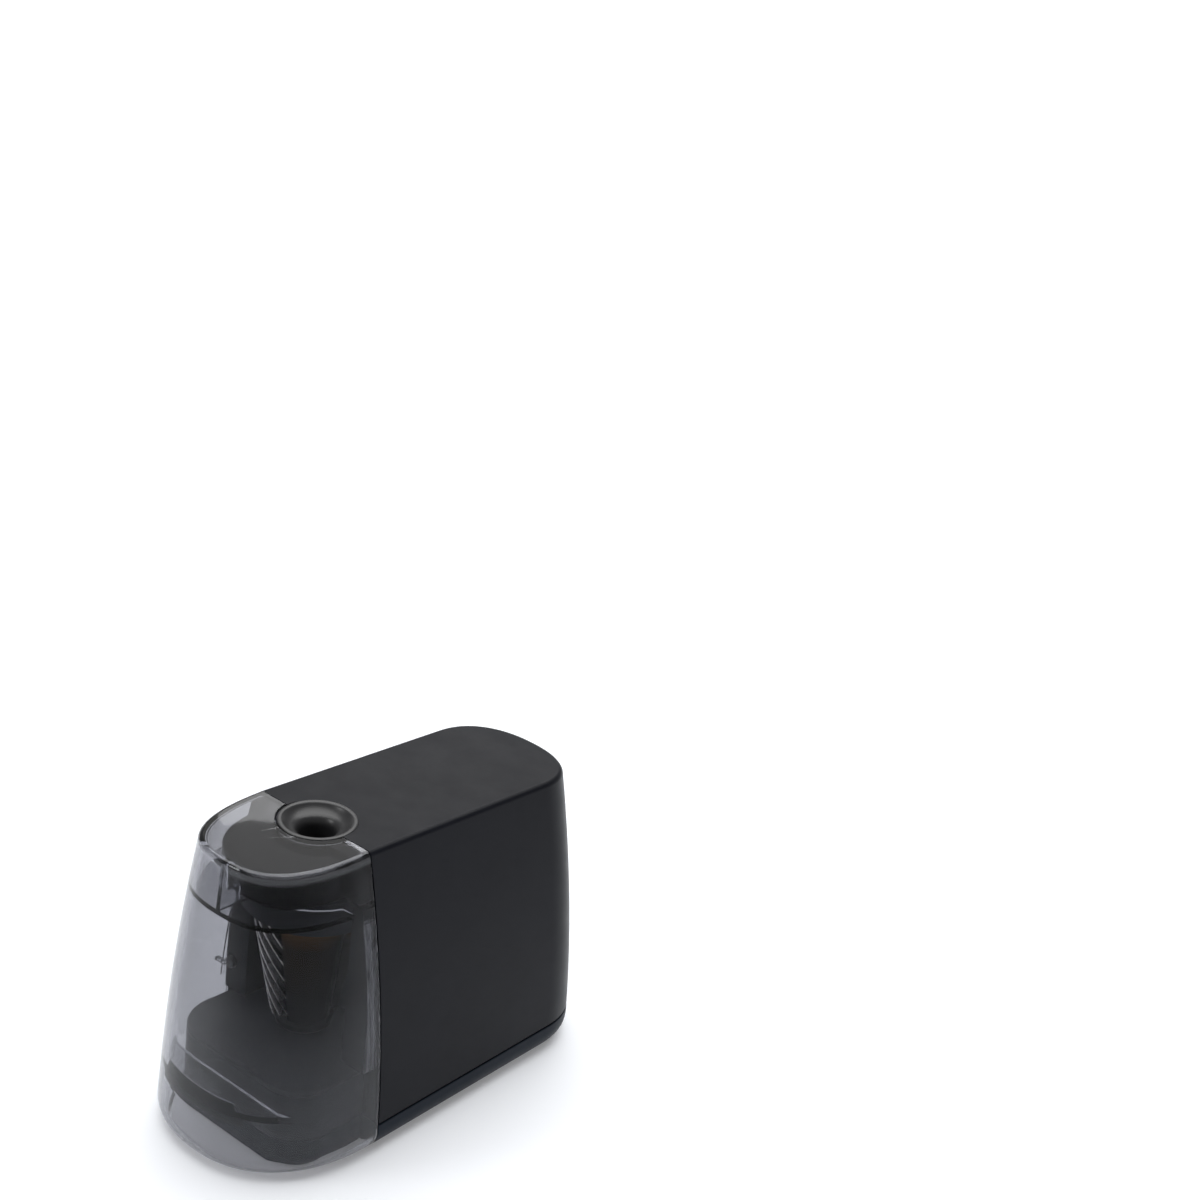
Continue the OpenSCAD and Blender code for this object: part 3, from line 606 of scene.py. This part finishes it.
def clear(name):
    """Smoke-tinted clear plastic that lets lamps through, with a reflection painted by height."""
    m = Nodes(name)
    m.set(Transmission_Weight=1.0, IOR=1.49, Base_Color=(0.84, 0.84, 0.85, 1))
    # Specular tint by height is a painted reflection: strong low down and on the top face, faint
    # high up the sides.
    stops = [(0.0, 0.85), (0.12, 0.85), (0.3, 0.6), (0.6, 0.2), (0.965, 0.1), (0.975, 1.0)]
    painted_reflection = m.ramp(m.height(), [(at, (g * 0.94, g * 0.96, g)) for at, g in stops])
    m.link(painted_reflection, m.shader.inputs["Specular Tint"])
    smoke = m.add("ShaderNodeVolumeAbsorption")
    smoke.inputs["Color"].default_value = (0.08, 0.09, 0.15, 1)
    smoke.inputs["Density"].default_value = 300
    m.link(smoke.outputs[0], m.out.inputs["Volume"])
    m.link(m.spread(m.noise(300, 4, 0.6), 0.01, 0.03), m.shader.inputs["Roughness"])
    m.bump(m.noise(45, 2, 0.4), 0.02 * MM, 0.15)
    through = m.add("ShaderNodeBsdfTransparent")
    through.inputs["Color"].default_value = (0.92, 0.92, 0.93, 1)
    path = m.add("ShaderNodeLightPath")
    mix = m.add("ShaderNodeMixShader")
    m.link(path.outputs["Is Shadow Ray"], mix.inputs[0])
    m.link(m.shader.outputs[0], mix.inputs[1])
    m.link(through.outputs[0], mix.inputs[2])
    m.link(mix.outputs[0], m.out.inputs["Surface"])
    return m


FINISHES = {
    "smoke_clear": clear("smoke_clear"),
    "case_plastic": moulded("case_plastic", (0.0044, 0.0050, 0.0078), 0.36, 2600, 0.007,
                            specular=0.1),
    "base_plastic": moulded("base_plastic", (0.0110, 0.0150, 0.0225), 0.42, 2600, 0.006,
                            specular=0.08),
    "black_plastic": moulded("black_plastic", (0.003, 0.003, 0.0034), 0.16, 900, 0.0008,
                             specular=0.15),
    "inner_plastic": moulded("inner_plastic", (0.030, 0.031, 0.036), 0.48, 1800, 0.0012,
                             specular=0.25),
    "gear_plastic": moulded("gear_plastic", (0.72, 0.70, 0.62), 0.42, 1200, 0.006, 0.05),
    "carrier_plastic": carrier_nylon("carrier_plastic"),
    "cutter_steel": ground_steel("cutter_steel"),
    "pin_steel": metal("pin_steel", (0.62, 0.63, 0.65), 0.28, 1500, 0.004, (1, 1, 0.2)),
    "can_steel": metal("can_steel", (0.56, 0.57, 0.6), 0.36, 900, 0.005),
    "core_steel": metal("core_steel", (0.2, 0.2, 0.21), 0.5, 1200, 0.01, (0.1, 0.1, 2.0)),
    "copper": metal("copper", (0.66, 0.27, 0.12), 0.35, 2200, 0.02, (0.1, 0.1, 1)),
    "brass": metal("brass", (0.68, 0.49, 0.2), 0.32, 1400, 0.005),
    "contact_steel": metal("contact_steel", (0.66, 0.66, 0.64), 0.25, 900, 0.004),
    "cell_jacket": moulded("cell_jacket", (0.3, 0.19, 0.05), 0.35, 500, 0.004, 0.1),
    "wire_red": moulded("wire_red", (0.42, 0.02, 0.02), 0.38, 900, 0.004),
    "wire_black": moulded("wire_black", (0.012, 0.012, 0.012), 0.38, 900, 0.004),
    "screw_steel": metal("screw_steel", (0.38, 0.39, 0.41), 0.4, 1500, 0.006),
    "rubber": moulded("rubber", (0.02, 0.02, 0.02), 0.75, 1500, 0.03),
    "collar_plastic": moulded("collar_plastic", (0.022, 0.022, 0.023), 0.34, 900, 0.004,
                              specular=0.5),
    "dusty_plastic": dusty("dusty_plastic"),
    # Lighter colour with upright streaks for the boss's sides: a painted reflection.
    "boss_side": moulded("boss_side", (0.24, 0.245, 0.255), 0.36, 900, 0.01, 0.8,
                         patch=1100, stretch=(1, 1, 0.03)),
    "button_plastic": moulded("button_plastic", (0.03, 0.03, 0.032), 0.35, 900, 0.004),
}
MATERIALS = {slot: made.material for slot, made in FINISHES.items()}


# ---------------------------------------------------------------- receptacle

def make_receptacle():
    bottom, inner_top = BIN_LOW.z + BIN_EDGE, HEIGHT - BIN_WALL
    outer = [(z, 0) for z in levels(bottom, EDGE_R, 6)[:-1] + levels(EDGE_R, HEIGHT - TOP_EDGE, 20)]
    outer = rounded_low(bottom, BIN_EDGE) + outer[1:] + rounded_top(HEIGHT, TOP_EDGE)
    inner = [(z, 0) for z in levels(0.4, EDGE_R, 6)[:-1]]
    inner += [(z, 0) for z in levels(EDGE_R, inner_top - BIN_INNER_EDGE, 20)]
    inner += rounded_top(inner_top, BIN_INNER_EDGE)
    shell = loft("receptacle_shell", [front_ring(z, i, -SEAM_GAP) for z, i in outer])
    notch_r = COLLAR_R + 0.2
    cut(shell, loft("hollow", [front_ring(z, BIN_WALL + i, 5) for z, i in inner]),
        turned("notch", [(notch_r, HEIGHT - 4), (notch_r, HEIGHT - 0.3),
                         (notch_r + 0.3, HEIGHT), (notch_r + 1.3, HEIGHT + 1)], AXIS, 160))
    return shell


def make_floor():
    """Floor whose rear edge is cut out to go round the deck."""
    floor = loft("floor", [front_ring(z, BIN_WALL / 2, -SEAM_GAP)
                           for z in levels(FLOOR_Z - BIN_WALL, FLOOR_Z, 2)])
    bend = smooth_corner([(40, 5), (40, -16), (26, -16), (24.5, -18.8), (21.5, -21.4),
                          (17.7, -22.8)])
    cut(floor, prism("tool", bend + [(-x, y) for x, y in reversed(bend)], 0, 30))
    return soften(floor, 0.35, 3)


def make_shelf():
    """Shelf along the front wall, cut out round the sharpening head."""
    shelf = loft("shelf", [front_ring(z, BIN_WALL / 2, -SEAM_GAP)
                           for z in (SHELF_Z - SHELF_T, SHELF_Z)])
    low, high = SHELF_Z - 3, SHELF_Z + 1
    cut(shelf, drum("tool", NOTCH_R, low, high, AXIS, 200),
        block("tool", -40, 40, -SHELF_BACK, 5, low, high))
    return soften(shelf, 0.25, 3)


def make_web():
    """Upright web between the shelf and the top, stepped to clear the head cover."""
    low, high = SHELF_Z - 0.2, HEIGHT - BIN_WALL + 0.2
    outline = [(0.8 - front_reach(low), low), (-17.7, low), (-17.7, 65.4), (-21.8, 65.4),
               (-21.8, 69.5), (-25.4, 69.5), (-25.4, high), (0.8 - front_reach(high), high)]
    web = loft("web", [[(x, y, z) for y, z in outline] for x in (-WEB_T / 2, WEB_T / 2)])
    return soften(web, 0.2, 2)


def make_rib(side, y):
    """Slim upright guide rib inside one side wall, close to the seam."""
    half = [(0.3, 0.32), (-0.16, 0.26), (-0.3, 0.12)]
    section = [(dx, -dy) for dx, dy in half] + half[::-1]
    rings = [[(side * (half_w(z) - BIN_WALL + dx), y + dy, z) for dx, dy in section]
             for z in [RIB_LOW] + levels(RIB_LOW + 0.3, RIB_HIGH - 0.3, 10) + [RIB_HIGH]]
    return loft("rib", rings)


def make_bin_tab():
    """Tab on one side wall that pushes the interlock plunger."""
    x, z = INTERLOCK
    tab = block("tab", BIN_WALL / 2 - half_w(z), x - 0.5, -5.2, -4.4, z - 0.6, z + 0.6)
    return soften(tab, 0.2)


bin_piece = make_receptacle()
join(bin_piece, make_floor(), make_shelf(), make_web(), make_bin_tab(),
     *[make_rib(side, y) for side in (-1, 1) for y in RIB_ROWS])
clean(bin_piece, 0)
place(soften(bin_piece, 0, 0, 30), "receptacle")


# ---------------------------------------------------------------- case

def make_upper_case():
    """Shell of the case, with a webbed post for each case screw."""
    zs = rounded_low(SEAM_Z + 0.3, 0.3)
    zs += [(z, 0) for z in levels(SEAM_Z + 0.3, HEIGHT - TOP_EDGE, 20)[1:]]
    zs += rounded_top(HEIGHT, TOP_EDGE)
    shell = loft("case_shell", [case_ring(z, i, 0) for z, i in zs])
    inner = [(z, 0) for z in levels(SEAM_Z - 1, HEIGHT - WALL - 1, 14)]
    inner += rounded_top(HEIGHT - WALL, 1)
    cut(shell, loft("hollow", [case_ring(z, WALL + i, -2) for z, i in inner]),
        drum("notch", COLLAR_R + 0.05, HEIGHT - 6, HEIGHT + 2, AXIS, 160))
    for x, y in CASE_SCREWS:
        reach = math.copysign(half_w(POST_TOP) - 1, x)
        post = drum("post", POST_R, SEAM_Z + 0.2, POST_TOP, (x, y), 48)
        join(post, block("web", min(x, reach), max(x, reach), y - 0.8, y + 0.8,
                         SEAM_Z + 0.2, POST_TOP))
        cut(post, drum("hole", POST_R / 2, 0, POST_TOP - 2.5, (x, y), 32))
        join(shell, post)
    return clean(shell, 0)


place(soften(make_upper_case(), 0.12, 2), "upper_case")


def make_base_plate():
    """Lower shell with its tongue, the battery opening and the screws' counterbores."""
    low, high = BASE_LOW.z, BASE_HIGH.z
    zs = [(z, 0) for z in levels(low, EDGE_R, 8)] + [(high - 0.3, 0)]
    zs += rounded_top(high, 0.3, 3)
    plate = loft("base", [case_ring(z, i, 0) for z, i in zs])
    pocket = [(x, y) for x, y, z in case_ring(EDGE_R, WALL + 1.4, 11.5)]
    cut(plate, prism("pocket", pocket, BASE_FLOOR, 12))
    join(plate, prism("tongue", tongue_outline(0), low, high))
    door, grip, rim = DOOR_W + 0.2, DOOR_GRIP + 0.2, 1.3
    cut(plate, prism("inside", tongue_outline(TONGUE_WALL), BASE_FLOOR, 12),
        block("door", -door, door, DOOR_FRONT, 90, 0, low + 0.5),
        block("groove", -grip, grip, DOOR_FRONT, 90, low + 0.4, low + 1.6),
        block("cells", TRAY_LOW.x + rim, TRAY_HIGH.x - rim, TRAY_LOW.y + rim,
              TRAY_HIGH.y - rim, 0, 6))
    for x, y in CASE_SCREWS:
        cut(plate, turned("tool", [(2.9, 0), (2.9, 3.2), (1.6, 3.2), (1.6, 20)], (x, y), 48))
    for x, y in FEET:
        cut(plate, drum("tool", 3.05, 0, 1.6, (x, y), 48))
    return clean(plate, 0)


place(soften(make_base_plate(), 0.15, 2), "base_plate")


def make_door():
    """Battery door: the part of the base's own form that its opening leaves, with grip lines."""
    low, high = DOOR_LOW.z, DOOR_HIGH.z
    front = DOOR_FRONT + 0.2
    plate = loft("door_plate", [case_ring(z, 0.1, 0) for z in levels(low, high, 4)])
    opening = block("span", -DOOR_W, DOOR_W, front, 90, 0, high)
    join(opening, block("tongues", -DOOR_GRIP, DOOR_GRIP, front, 90, low + 0.55, high))
    combine(plate, opening, "INTERSECT")
    for y in range(20, 30, 2):
        cut(plate, block("groove", -6, 6, y, y + 1, 0, low + 0.45))
    return clean(plate, 0)


place(soften(make_door(), 0.12, 2), "battery_door")


# ---------------------------------------------------------------- front of the case

def alcove(r, back, step_z, z0, z1):
    """Drum round the pencil's axis, with a step that stays clear of the battery tray."""
    tool = drum("alcove", r, z0, z1, AXIS, 160)
    return cut(tool, block("step", -40, 40, back, 40, z0 - 1, step_z))


def boss_ring(z, inset, y0, y1):
    """One level of the boss, whose sides stand upright below BOSS_Z."""
    w = min(half_w(z), half_w(BOSS_Z)) - inset
    return [(w, y0, z), (w, y1, z), (-w, y1, z), (-w, y0, z)]


def boss_levels(low, high):
    """Levels that meet at BOSS_Z, where the sides of the boss start to lean."""
    return levels(low, BOSS_Z, 2) + levels(BOSS_Z, high, 8)[1:]


def make_bulkhead():
    """Front wall with the hollow boss, the cutter's alcove and posts for the frame screws."""
    side, face, depth, plate_back = BOSS_SIDE, 1.6, BOSS_DEPTH, 1.8
    low, high = DECK_HIGH.z, WALL_HIGH.z
    back, step = TRAY_LOW.y - PART_GAP, TRAY_HIGH.z + PART_GAP
    wall = loft("bulkhead", [boss_ring(z, side, -depth, plate_back)
                             for z in boss_levels(low, high)])
    join(wall, loft("plate", [slab_ring(z, WALL + 0.15, 0.2, plate_back)
                              for z in levels(SEAM_Z + 0.2, high, 12)]))
    cut(wall, loft("hollow", [boss_ring(z, side + face, face - depth, plate_back + 0.1)
                              for z in boss_levels(low + face, high - face)]))
    join(wall, alcove(ALCOVE_R + ALCOVE_WALL, back, step, low, high))
    for x, y in FRAME_SCREWS:
        join(wall, drum("post", 2.2, high - 14, high, (x, y), 32))
    cut(wall, alcove(ALCOVE_R, back - ALCOVE_WALL, step + ALCOVE_WALL, low - 1, high + 1),
        block("front", -40, 40, -40, -depth, 0, 80),
        block("slot", -TONGUE_BACK_W - 0.2, TONGUE_BACK_W + 0.2, 0, 3, 0, low))
    turn = (Matrix.Translation((INTERLOCK[0], -10, INTERLOCK[1]))
            @ Matrix.Rotation(-math.pi / 2, 4, "X"))
    cut(wall, turned("hole", [(1.55, 0), (1.55, 13)], steps=32, matrix=turn))
    for x, y in FRAME_SCREWS:
        cut(wall, drum("hole", 1.05, high - 12, high + 8, (x, y), 24))
    return clean(wall, 0)


wall_piece = place(soften(make_bulkhead(), 0.3, 3), "front_bulkhead")
# The boss's upright sides take a lighter, streaked colour: a painted reflection.
paint(wall_piece, "boss_side", lambda p: abs(p.normal.x) > 0.9 and abs(p.center.x) > 20 * MM)


def make_housing():
    """Riser on the tongue, open towards the case."""
    low, high = SEAM_Z, DECK_LOW.z
    body = prism("housing", tongue_outline(0), low, high)
    cut(body, prism("inside", tongue_outline(TONGUE_WALL), low - 1, high + 1),
        block("open", -30, 30, 9, 20, 0, 30))
    return clean(body, 0)


place(soften(make_housing(), 0.15, 2), "switch_housing")


def make_deck():
    deck = prism("deck", tongue_outline(0), DECK_LOW.z, DECK_HIGH.z)
    cut(deck, drum("hole", 1.45, 0, 40, AXIS, 48))
    return clean(deck, 0)


deck_piece = place(soften(make_deck(), 0.45, 4), "front_deck")
deck_piece.data.materials[0] = MATERIALS["dusty_plastic"]


# ---------------------------------------------------------------- head and entry

def make_head():
    """Head cover: its body, the lip round its top and the flange against the case."""
    low, flange_top = HEAD_LOW.z, HEAD_HIGH.z
    side = BIN_WALL + PART_GAP
    wall = HEAD_WALL
    head = loft("head", [head_ring(HEAD_SIZE, z, 0, 0) for z in levels(low, LIP_Z + 0.01, 4)])
    lip = [(LIP_Z, 0.4), (LIP_Z + 0.15, 0.12), (LIP_Z + 0.4, 0), (LIP_TOP - LIP_EDGE, 0)]
    lip += rounded_top(LIP_TOP, LIP_EDGE)
    join(head, loft("lip", [head_ring(LIP_SIZE, z, i, 0) for z, i in lip]))
    flange = loft("flange", [slab_ring(z, side, -FLANGE_T, 0)
                             for z in levels(low, flange_top, 6)])
    cut(flange, loft("inside", [slab_ring(z, side + wall, wall - FLANGE_T, 1)
                                for z in levels(low - 1, flange_top - wall, 6)]))
    join(head, flange)
    cut(head, loft("inside", [head_ring(HEAD_SIZE, z, wall, 3)
                              for z in levels(low - 1, LIP_Z, 3)]),
        loft("inside", [head_ring(LIP_SIZE, z, wall, 3)
                        for z in levels(LIP_Z - 0.01, LIP_TOP - wall, 3)]),
        drum("hole", COLLAR_R + 0.05, 60, 90, AXIS, 128))
    return clean(head, 0)


place(soften(make_head(), 0.2, 3), "head_cover")


def make_guide():
    """Tube with a raised bead round its collar, dished down to the pencil's bore."""
    top, low = GUIDE_HIGH.z, GUIDE_LOW.z
    tube = [(BORE_R, low + 0.2), (BORE_R + 0.2, low), (TUBE_R - 0.2, low), (TUBE_R, low + 0.2),
            (TUBE_R, COLLAR_Z - 0.3), (TUBE_R + 0.3, COLLAR_Z)]
    side = [(COLLAR_R - 0.2, COLLAR_Z), (COLLAR_R, COLLAR_Z + 0.2)]
    bead = [(COLLAR_R - inset, top - drop) for inset, drop in
            ((0, 0.35), (0.1, 0.1), (0.35, 0), (0.9, 0), (1.15, 0.1), (1.4, 0.4), (2.2, 1.2))]
    dish = [(r, top - drop) for r, drop in
            ((6.1, 1.8), (5.4, 2.1), (4.9, 2.6), (4.5, 3.3), (BORE_R, 4.4))]
    return ring_solid("guide", tube + side + bead + dish, AXIS, 160)


guide_piece = place(soften(make_guide(), 0, 0, 40), "pencil_guide")
guide_piece.data.materials[0] = MATERIALS["collar_plastic"]


# ---------------------------------------------------------------- carrier and cutter

def along(z):
    """Length along the tilted axis that reaches height z."""
    return (z - TIP_Z) / math.cos(CUTTER_TILT)


def make_carrier():
    """Carrier from its foot to its hub, bored for the pencil's cone, the guide and the cutter."""
    low, foot, flange, flange_top, hub = CARRIER_LOW.z, 25.6, 61.4, 63.4, 66.2
    foot_r, neck_r, flange_r, hub_r = 7, 6, 13.4, 9
    soft_r = flange_r - 0.3
    profile = [(foot_r - 0.4, low), (foot_r, low + 0.4), (foot_r, foot - 0.5),
               (foot_r - 0.4, foot - 0.1), (neck_r, foot)]
    profile += [(neck_r + (hub_r - neck_r) * (z - foot) / (flange - foot), z)
                for z in levels(28, flange, 8)]
    profile += [(soft_r, flange), (flange_r, flange + 0.3), (flange_r, flange_top - 0.3),
                (soft_r, flange_top), (hub_r, flange_top), (hub_r, hub)]
    body = turned("carrier_body", profile, AXIS, 128)
    bore_top = flange + 0.5
    fin = ((5, 27), (7.5, 27), (11.5, 50), (12.4, bore_top), (5, bore_top))
    join(body, loft("rib", [[(x, y, z) for x, z in fin] for y in (-1.5, 1.5)],
                    Matrix.Translation((AXIS[0], AXIS[1], 0))
                    @ Matrix.Rotation(CUTTER_BEARING + math.pi, 4, "Z")))
    seat_r = TUBE_R + 0.05
    bed_r, bed_top = CUTTER_R + 0.35, 56.9
    cut(body, turned("bore", [(0.9, 27.5), (5, 46.1), (5, bore_top), (seat_r, bore_top),
                              (seat_r, 80)], AXIS, 96),
        drum("hole", 1.8, 20, 28, AXIS, 32),
        turned("bed", [(bed_r, along(foot - 0.1)), (bed_r, along(bed_top)),
                       (3.5, along(bed_top + 0.01)), (3.5, along(61.2))],
               steps=64, matrix=CUTTER_MATRIX),
        turned("pin", [(1, along(15)), (1, along(70))], steps=32, matrix=CUTTER_MATRIX))
    return clean(body, 0)


place(soften(make_carrier(), 0.25, 2, 36), "carrier")


def tooth_ring(z, turn, fade):
    """One level of the teeth; fade draws them in towards the root."""
    tooth = [(0.00, 3.97), (0.08, 3.97), (0.16, 3.76), (0.32, 3.44), (0.52, 3.24),
             (0.72, CUTTER_ROOT_R), (0.88, 3.36), (0.95, 3.62)]
    ring = []
    for i in range(CUTTER_EDGES):
        for at, r in tooth:
            a = 2 * math.pi * (i + at) / CUTTER_EDGES + turn
            q = CUTTER_ROOT_R + (r - CUTTER_ROOT_R) * fade
            ring.append((q * math.cos(a), q * math.sin(a), z))
    return ring


def make_cutter(steps=90):
    """Helical cutter: each tooth has a narrow ground land, a raked face and a round gullet."""
    low, high = along(CUTTER_LOW), along(CUTTER_HIGH)
    rings = []
    for t in levels(0, 1, steps):
        z = low + (high - low) * t
        rings.append(tooth_ring(z, -CUTTER_TWIST * t, min(1.0, (high - z) / 1.2 + 0.45)))
    cutter = loft("cutter_teeth", rings, CUTTER_MATRIX)
    join(cutter, turned("neck", [(2, high - 1), (2, along(57.2)), (1.8, along(57.5))], steps=48,
                        matrix=CUTTER_MATRIX))
    cut(cutter, turned("bore", [(1.05, -5), (1.05, 60)], steps=32, matrix=CUTTER_MATRIX))
    return clean(cutter, 0)


place(soften(make_cutter(), 0, 0, 30), "cutter")


# ---------------------------------------------------------------- everything else

# Width of the rounding on the edges of each node that keeps its CAD form
FINE_EDGES = {
    "gear_frame": 0.2, "ring_gear": 0.08, "motor_can": 0.35, "motor_end_cap": 0.25,
    "motor_magnets": 0.2, "motor_terminals": 0.06, "motor_shaft": 0.15, "armature_core": 0.12,
    "armature_windings": 0.6, "commutator": 0.15, "motor_pinion": 0.06, "idler_pin": 0.15,
    "idler_gear": 0.06, "carrier_gear": 0.07, "cutter_pin": 0.15, "cutter_pinion": 0.06,
    "thrust_washer": 0.1, "battery_tray": 0.2, "cell_1": 0.5, "cell_2": 0.5, "cell_3": 0.5,
    "cell_4": 0.5, "contact_plates": 0.06, "contact_springs": 0, "start_switch": 0.2,
    "start_plunger": 0.25, "plunger_spring": 0, "interlock_switch": 0.2,
    "interlock_plunger": 0.25, "wire_red": 0, "wire_black": 0, "case_screws": 0.12,
    "frame_screws": 0.1, "rubber_feet": 0.3,
}
fine_pieces = {node: refined(node, width) for node, width in FINE_EDGES.items()}
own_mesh(fine_pieces["plunger_spring"])


# ---------------------------------------------------------------- camera, light and floor

# In metres and degrees. The camera was fitted to the photograph's straight edges; its y is
# counted from the seam.
CAMERA_AT = (0.300014, -0.299588, 0.319299)
CAMERA_AZIMUTH = 37.07
CAMERA_PITCH = 22.97
CAMERA_ROLL = 7.22
CAMERA_LENS = 62.66
SKY_STOPS = [(0.0, 0.98), (0.1, 0.98), (0.16, 0.18), (0.4, 0.3), (0.8, 0.2), (1.0, 0.25)]


def aim_camera():
    az, pitch, roll = (math.radians(a) for a in (CAMERA_AZIMUTH, CAMERA_PITCH, CAMERA_ROLL))
    back = Vector((math.sin(az) * math.cos(pitch), -math.cos(az) * math.cos(pitch),
                   math.sin(pitch)))
    level = Vector((math.cos(az), math.sin(az), 0))
    upright = back.cross(level)
    right = level * math.cos(roll) + upright * math.sin(roll)
    up = upright * math.cos(roll) - level * math.sin(roll)
    data = bpy.data.cameras.new("camera")
    data.lens = CAMERA_LENS
    data.sensor_width = 36
    data.clip_start = 0.01
    data.clip_end = 50
    camera = shown("camera", data)
    x, y, z = CAMERA_AT
    camera.matrix_world = Matrix((
        (right.x, up.x, back.x, x),
        (right.y, up.y, back.y, SEAM_Y * MM + y),
        (right.z, up.z, back.z, z),
        (0, 0, 0, 1)))
    bpy.context.scene.camera = camera


def softbox(name, place_at, aim_at, size, watts, colour=(1, 1, 1)):
    data = bpy.data.lights.new(name, "AREA")
    data.shape = "RECTANGLE"
    data.size, data.size_y = size
    data.energy = watts
    data.color = colour
    lamp = shown(name, data)
    lamp.location = place_at
    lamp.rotation_mode = "QUATERNION"
    lamp.rotation_quaternion = (Vector(aim_at) - Vector(place_at)).to_track_quat("-Z", "Y")


def overhead_light():
    data = bpy.data.lights.new("overhead", "SUN")
    data.energy = 3.3
    data.angle = math.radians(70)
    shown("overhead", data).rotation_euler = (math.radians(-14), math.radians(-12), 0)


def make_world():
    """Studio surround: bright near the horizon and dim above, so that reflections stay dark."""
    world = bpy.data.worlds.new("studio")
    world.use_nodes = True
    bpy.context.scene.world = world
    tree = world.node_tree
    coords = tree.nodes.new("ShaderNodeTexCoord")
    split = tree.nodes.new("ShaderNodeSeparateXYZ")
    ramp = tree.nodes.new("ShaderNodeValToRGB")
    set_stops(ramp, [(at, (v, v, v * 1.02)) for at, v in SKY_STOPS])
    tree.links.new(coords.outputs["Generated"], split.inputs[0])
    tree.links.new(split.outputs["Z"], ramp.inputs["Fac"])
    tree.links.new(ramp.outputs["Color"], tree.nodes["Background"].inputs["Color"])


def make_stage():
    bm = bmesh.new()
    bmesh.ops.create_grid(bm, x_segments=8, y_segments=8, size=12)
    mesh = bpy.data.meshes.new("stage_floor")
    bm.to_mesh(mesh)
    bm.free()
    paper = moulded("paper", (0.83, 0.85, 0.885), 0.7, 600, 0.02, 0.01, 0.03, 0.3, 8)
    paper.set(Emission_Color=(1, 1, 1, 1), Emission_Strength=0.18)
    mesh.materials.append(paper.material)
    shown("stage_floor", mesh)


aim_camera()
make_world()
make_stage()
overhead_light()
softbox("left_front", (-0.9, -1.3, 1.2), (0, 0, 0.04), (0.5, 0.35), 6)
softbox("rear_left", (-0.95, 1.35, 0.85), (0, 0.04, 0.08), (0.8, 0.35), 1.4)
softbox("top_sheen", (-0.94, 0.87, 0.84), (0, -0.04, 0.08), (0.6, 0.4), 0.26, (1, 0.98, 0.92))
bpy.context.scene.view_settings.view_transform = "Standard"
